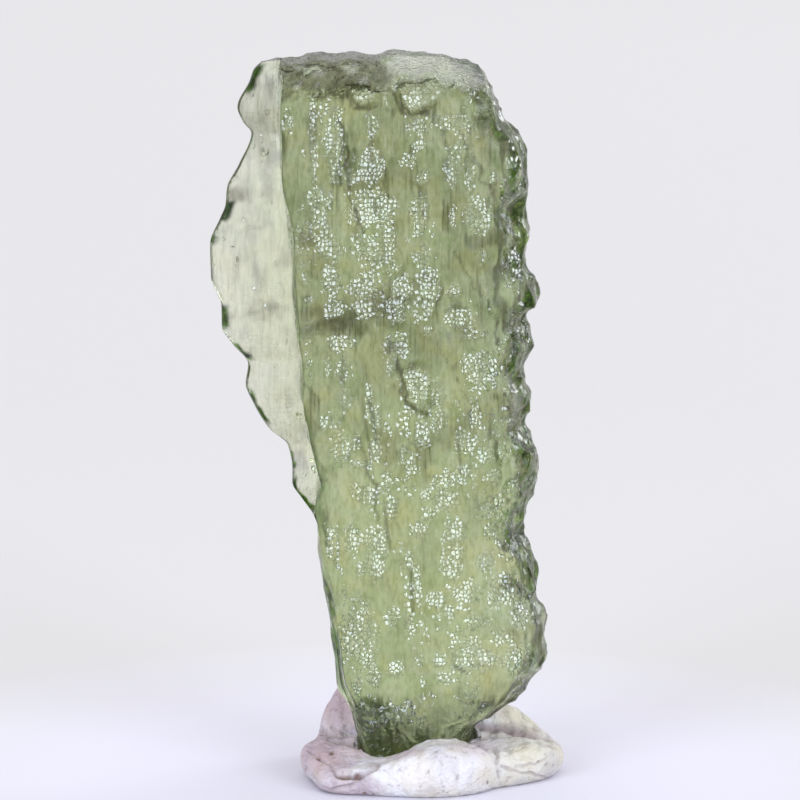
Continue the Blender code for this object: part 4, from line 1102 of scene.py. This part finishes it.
def glass_tint(wiring, place, upright, inside, mask):
    """Colour let through the skin: cloudy, speckled, with dark strands in the stains, dark
    borders round the grains that are painted shade, smudges on the wing, pale with painted
    sheen where the top is weathered and at other pale places, and dark where stains, painted
    shade and deep green are."""
    pale_and_sheen, frost, wing, stain_and_shade, shade, deep = (
        wiring.attribute(key) for key in ("pale_and_sheen", "frost", "wing", "stain_and_shade", "shade", "deep")
    )
    longer = wiring.place((1, 1, 0.45))
    tint = wiring.ramp(wiring.noise(place, 0.9, 2), CLOUD_STOPS)
    tint = wiring.blend(wiring.times(wing, 0.8), tint, WING_COLOUR)
    tint = wiring.multiply(frost, tint, wiring.ramp(wiring.noise(longer, 7.0, 2), SPECKLE_STOPS))
    strands = wiring.noise(wiring.place((9, 3, 0.8)), 1.0, 2)
    fibrous = wiring.math("MULTIPLY_ADD", stain_and_shade, 2.1, -0.04, use_clamp=True)
    fibrous = wiring.times_plus(wing, 0.2, wiring.times(fibrous, frost))
    tint = wiring.multiply(fibrous, tint, wiring.ramp(strands, STRAND_STOPS))
    # painted shade on the borders round the etched grains
    grain_shade = wiring.times(wiring.math("SUBTRACT", 1.0, inside), mask)
    tint = wiring.blend(grain_shade, tint, GRAIN_SHADE_COLOUR)
    # lighter where the skin is pale: painted sheen
    tint = wiring.blend(wiring.times(pale_and_sheen, 0.8), tint, PALE_SHEEN_COLOUR)
    tint = wiring.multiply(wing, tint, wiring.ramp(wiring.noise(longer, 1.6, 4), SMUDGE_STOPS))
    moss = wiring.ramp(wiring.noise(upright, 3.5, 3), MOSS_STOPS)
    # stains and painted shade
    tint = wiring.blend(wiring.times(stain_and_shade, moss), tint, STAIN_AND_SHADE_COLOUR)
    slope = wiring.ramp(wiring.noise(upright, 9.0, 2), SLOPE_STOPS)
    tint = wiring.blend(wiring.times(shade, slope), tint, SHADE_COLOUR)
    # deep green, partly painted shade along the edges
    edge = wiring.ramp(wiring.noise(place, 2.6, 2), DEEP_GREEN_AND_SHADE_STOPS)
    return wiring.blend(deep, tint, edge)


def glass_material(settings):
    """Yellow-green glass: frosted where only weathered, glossy facets where etched, bumpy
    where broken, with its colour in the depth (absorption) and in the skin."""
    wiring = Wiring("Moldavite glass")
    place, upright = wiring.place(), wiring.place((1, 1, 0.25))
    grain, inside, mask = etched_grain(wiring, settings)
    frost, broken, pale_and_sheen = (wiring.attribute(key) for key in ("frost", "broken", "pale_and_sheen"))
    height = wiring.times(grain, wiring.times_plus(mask, 0.9, 0.1))
    height = wiring.times_plus(wiring.times(wiring.noise(upright, 4.0, 1), frost), 0.3, height)
    height = wiring.times_plus(wiring.times(wiring.noise(place, 4.0, 2), broken), 2.2, height)
    normal = wiring.bump(height, settings.grain_width)
    rough = wiring.times_plus(mask, -0.1, wiring.times_plus(frost, 0.22, 0.1))
    wiring.feed(wiring.shader, {
        "Base Color": glass_tint(wiring, place, upright, inside, mask),
        "Transmission Weight": 1.0,
        "IOR": settings.ior,
        "Roughness": wiring.math("MAXIMUM", rough, 0.1),
        "Specular Tint": (0.3, 0.3, 0.3),
        "Coat Weight": wiring.math("MAXIMUM", wiring.times(mask, settings.glint), pale_and_sheen),
        "Coat Roughness": 0.15,
        "Coat IOR": 1.8,
        "Normal": normal,
        "Coat Normal": normal,
    })
    inputs = {"Color": settings.absorption_colour, "Density": settings.absorption_density}
    volume = wiring.node("VolumeAbsorption", inputs)["Volume"]
    wiring.feed(wiring.nodes["Material Output"], {"Volume": volume})
    return wiring.material


def putty_material(settings):
    """Matt white putty with pink, cream and gritty places, painted shade in the folds, and fine
    ridges; the pink places are partly painted lilac shade, and one brown band is painted shade.
    """
    wiring = Wiring("Mineral putty")
    place = wiring.place()
    cloud = wiring.noise(place, 0.6, 4, 0.6)
    colour = np.array(settings.colour)
    tint = wiring.ramp(cloud, [(at, tuple(colour * share)) for at, share in PUTTY_CLOUD])
    warm = wiring.ramp(wiring.noise(place, 1.2, 4), WARM_STOPS)
    tint = wiring.multiply(1.0, tint, warm)
    # pink, and partly painted lilac shade
    tint = wiring.multiply(wiring.attribute("pink_and_shade"), tint, PINK_AND_SHADE_COLOUR)
    tint = wiring.multiply(wiring.attribute("cream"), tint, CREAM_COLOUR)
    flecks = wiring.noise(place, 3.5, 5)
    tint = wiring.multiply(0.8, tint, wiring.ramp(flecks, FLECK_STOPS))
    # painted shade in the folds
    tint = wiring.blend(wiring.attribute("crease"), tint, CREASE_SHADE_COLOUR)
    # grit, and one band of painted shade
    grit_and_shade = wiring.times(wiring.attribute("grit_and_shade"), wiring.times_plus(flecks, 1.6, 0.2))
    fine = wiring.noise(place, 6.0, 4)
    ridges = wiring.node("TexWave", {
        "Vector": wiring.place((0.5, 0.5, 1.6)), "Scale": 1.1, "Distortion": 5.0,
        "Detail": 2.0, "Detail Scale": 0.5,
    })["Fac"]
    wiring.feed(wiring.shader, {
        "Base Color": wiring.blend(grit_and_shade, tint, GRIT_AND_SHADE_COLOUR),
        "Roughness": wiring.ramp(fine, [(0.3, 0.8), (0.7, 1)]),
        "Specular IOR Level": 0.25,
        "Normal": wiring.bump(wiring.times_plus(ridges, 0.5, fine), 0.1 * MM),
    })
    return wiring.material


def floor_material(settings):
    """Pale matt paper, lilac-white near the object and a little warmer and darker further out;
    the darker part is painted shade.
    """
    wiring = Wiring("Studio floor")
    inputs = {0: wiring.node("TexCoord", {})["Object"]}
    away = wiring.node("VectorMath", inputs, operation="LENGTH")["Value"]
    near, far = tuple(settings.floor_near), np.array(settings.floor_far_shade)
    stops = [(0.05, near)]
    stops += [(at, tuple(far * share)) for at, share in ((0.1, 1.01), (0.35, 1.0), (0.95, 1.03))]
    wiring.feed(wiring.shader, {
        "Base Color": wiring.ramp(wiring.math("DIVIDE", away, FLOOR_FADE), stops),
        "Roughness": 0.9,
        "Specular IOR Level": 0.1,
    })
    return wiring.material


def add_object(name, mesh, material):
    made = bpy.data.objects.new(name, mesh)
    mesh.materials.append(material)
    bpy.context.scene.collection.objects.link(made)
    return made


def soft_light(name, place, size, radiance, colour):
    """A square softbox turned to the stone; its power is pi times its area times its
    brightness."""
    data = bpy.data.lights.new(name, "AREA")
    data.size = size
    data.energy = math.pi * size * size * radiance
    data.color = colour
    light = bpy.data.objects.new(name, data)
    light.location = place
    towards = Vector((0, 0, STONE_MIDDLE * MM)) - Vector(place)
    light.rotation_euler = towards.to_track_quat("-Z", "Y").to_euler()
    bpy.context.scene.collection.objects.link(light)


class StoneSettings(bpy.types.PropertyGroup):
    scallop_depth: FloatProperty(
        name="Scallop depth", description="How deep the wide scallops are", default=0.3 * MM,
        subtype="DISTANCE", unit="LENGTH", precision=5,
    )
    grain_width: FloatProperty(
        name="Grain width", description="Width of one etched grain", default=0.155 * MM,
        subtype="DISTANCE", unit="LENGTH", precision=6,
    )
    facet_side: FloatProperty(
        name="Grain lean", description="Sideways slope of a grain", default=0.34,
    )
    facet_up: FloatProperty(
        name="Grain tilt", description="Upward slope of a grain", default=0.26,
    )
    facet_dome: FloatProperty(
        name="Grain dome", description="How round a grain is", default=0.2,
    )
    glint: FloatProperty(
        name="Glint", description="Strength of the grains' shine", default=0.74, min=0, max=1,
    )
    ior: FloatProperty(name="Refraction", description="Index of refraction", default=1.49)
    absorption_colour: FloatVectorProperty(
        name="Glass colour", description="What deep glass lets through", subtype="COLOR",
        default=(0.6, 0.705, 0.21), min=0, max=1,
    )
    absorption_density: FloatProperty(
        name="Absorption", description="How fast the glass takes up light, per metre",
        default=235.0,
    )


class PuttySettings(bpy.types.PropertyGroup):
    colour: FloatVectorProperty(
        name="Putty colour", description="Colour of most of the putty", subtype="COLOR",
        default=(0.605, 0.575, 0.59), min=0, max=1,
    )


class StageSettings(bpy.types.PropertyGroup):
    floor_near: FloatVectorProperty(
        name="Floor near", description="Floor colour round the object", subtype="COLOR",
        default=(0.645, 0.62, 0.69), min=0, max=1,
    )
    # the darker floor further out is painted shade
    floor_far_shade: FloatVectorProperty(
        name="Floor far", description="Floor colour further out", subtype="COLOR",
        default=(0.583, 0.562, 0.558), min=0, max=1,
    )
    camera_distance: FloatProperty(
        name="Camera distance", description="From the camera to the stone", default=0.2625,
        subtype="DISTANCE", unit="LENGTH",
    )
    camera_elevation: FloatProperty(
        name="Camera elevation", description="Angle of the camera above the floor",
        default=math.radians(10), subtype="ANGLE", unit="ROTATION",
    )
    overhead: FloatProperty(
        name="Overhead", description="Brightness of the top light", default=0.75,
    )
    sparkle: FloatProperty(
        name="Front lights", description="Brightness of the two front lights", default=9.0,
    )
    side: FloatProperty(
        name="Side light", description="Brightness of the light from the right", default=6.0,
    )
    world: FloatProperty(name="Surroundings", description="Brightness all round", default=0.7)


class MOLDAVITE_OT_stone(bpy.types.Operator):
    """Build the glass stone in place of the plain solid"""

    bl_idname = "moldavite.stone"
    bl_label = "Stone"

    def execute(self, context):
        settings = context.scene.moldavite_stone
        mesh = stone_mesh(settings.scallop_depth / MM)
        stone = add_object("Stone", mesh, glass_material(settings))
        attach(stone, "root")
        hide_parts("moldavite")
        return {"FINISHED"}


class MOLDAVITE_OT_putty(bpy.types.Operator):
    """Build the kneaded putty in place of the plain solid"""

    bl_idname = "moldavite.putty"
    bl_label = "Putty"

    def execute(self, context):
        putty = add_object("Putty", putty_mesh(), putty_material(context.scene.moldavite_putty))
        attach(putty, "root")
        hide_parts("putty_stand")
        return {"FINISHED"}


class MOLDAVITE_OT_stage(bpy.types.Operator):
    """Lay the floor and set up the lights and the camera"""

    bl_idname = "moldavite.stage"
    bl_label = "Stage"

    def execute(self, context):
        settings = context.scene.moldavite_stage
        mesh = bpy.data.meshes.new("Floor")
        corners = [(x * FLOOR_HALF, y * FLOOR_HALF, 0) for x, y in FLOOR_CORNERS]
        mesh.from_pydata(corners, [], [(0, 1, 2, 3)])
        floor = add_object("Floor", mesh, floor_material(settings))

        world = bpy.data.worlds.new("Studio")
        world.use_nodes = True
        background = world.node_tree.nodes["Background"]
        background.inputs["Color"].default_value = (1.0, 1.0, 1.0, 1.0)
        background.inputs["Strength"].default_value = settings.world
        context.scene.world = world
        for name, place, size, key, colour in LIGHTS:
            soft_light(name, place, size, getattr(settings, key), colour)
        context.scene.view_settings.view_transform = "Standard"

        data = bpy.data.cameras.new("Camera")
        data.sensor_width, data.lens, data.clip_start = SENSOR_WIDTH, FOCAL_LENGTH, 0.01
        camera = bpy.data.objects.new("Camera", data)
        elevation = settings.camera_elevation
        back = Vector((0, -math.cos(elevation), math.sin(elevation)))
        target = Vector([place * MM for place in LOOK_AT])
        camera.location = target + back * settings.camera_distance
        camera.rotation_euler = (math.pi / 2 - elevation, 0, 0)
        context.scene.collection.objects.link(camera)
        context.scene.camera = camera
        return {"FINISHED"}


class MOLDAVITE_PT_panel(bpy.types.Panel):
    """The buttons and settings of the moldavite"""

    bl_idname = "MOLDAVITE_PT_panel"
    bl_label = "Moldavite"
    bl_space_type = "VIEW_3D"
    bl_region_type = "UI"
    bl_category = "Moldavite"

    def draw(self, context):
        for operator, group in (
            (MOLDAVITE_OT_stone, "moldavite_stone"),
            (MOLDAVITE_OT_putty, "moldavite_putty"),
            (MOLDAVITE_OT_stage, "moldavite_stage"),
        ):
            box = self.layout.box()
            box.operator(operator.bl_idname)
            settings = getattr(context.scene, group)
            for key in settings.__annotations__:
                box.prop(settings, key)


CLASSES = (
    StoneSettings, PuttySettings, StageSettings,
    MOLDAVITE_OT_stone, MOLDAVITE_OT_putty, MOLDAVITE_OT_stage, MOLDAVITE_PT_panel,
)


def register():
    for cls in CLASSES:
        bpy.utils.register_class(cls)
    bpy.types.Scene.moldavite_stone = PointerProperty(type=StoneSettings)
    bpy.types.Scene.moldavite_putty = PointerProperty(type=PuttySettings)
    bpy.types.Scene.moldavite_stage = PointerProperty(type=StageSettings)


def unregister():
    del bpy.types.Scene.moldavite_stone
    del bpy.types.Scene.moldavite_putty
    del bpy.types.Scene.moldavite_stage
    for cls in reversed(CLASSES):
        bpy.utils.unregister_class(cls)


def main():
    register()
    bpy.ops.moldavite.stone()
    bpy.ops.moldavite.putty()
    bpy.ops.moldavite.stage()


if __name__ == "__main__":
    main()
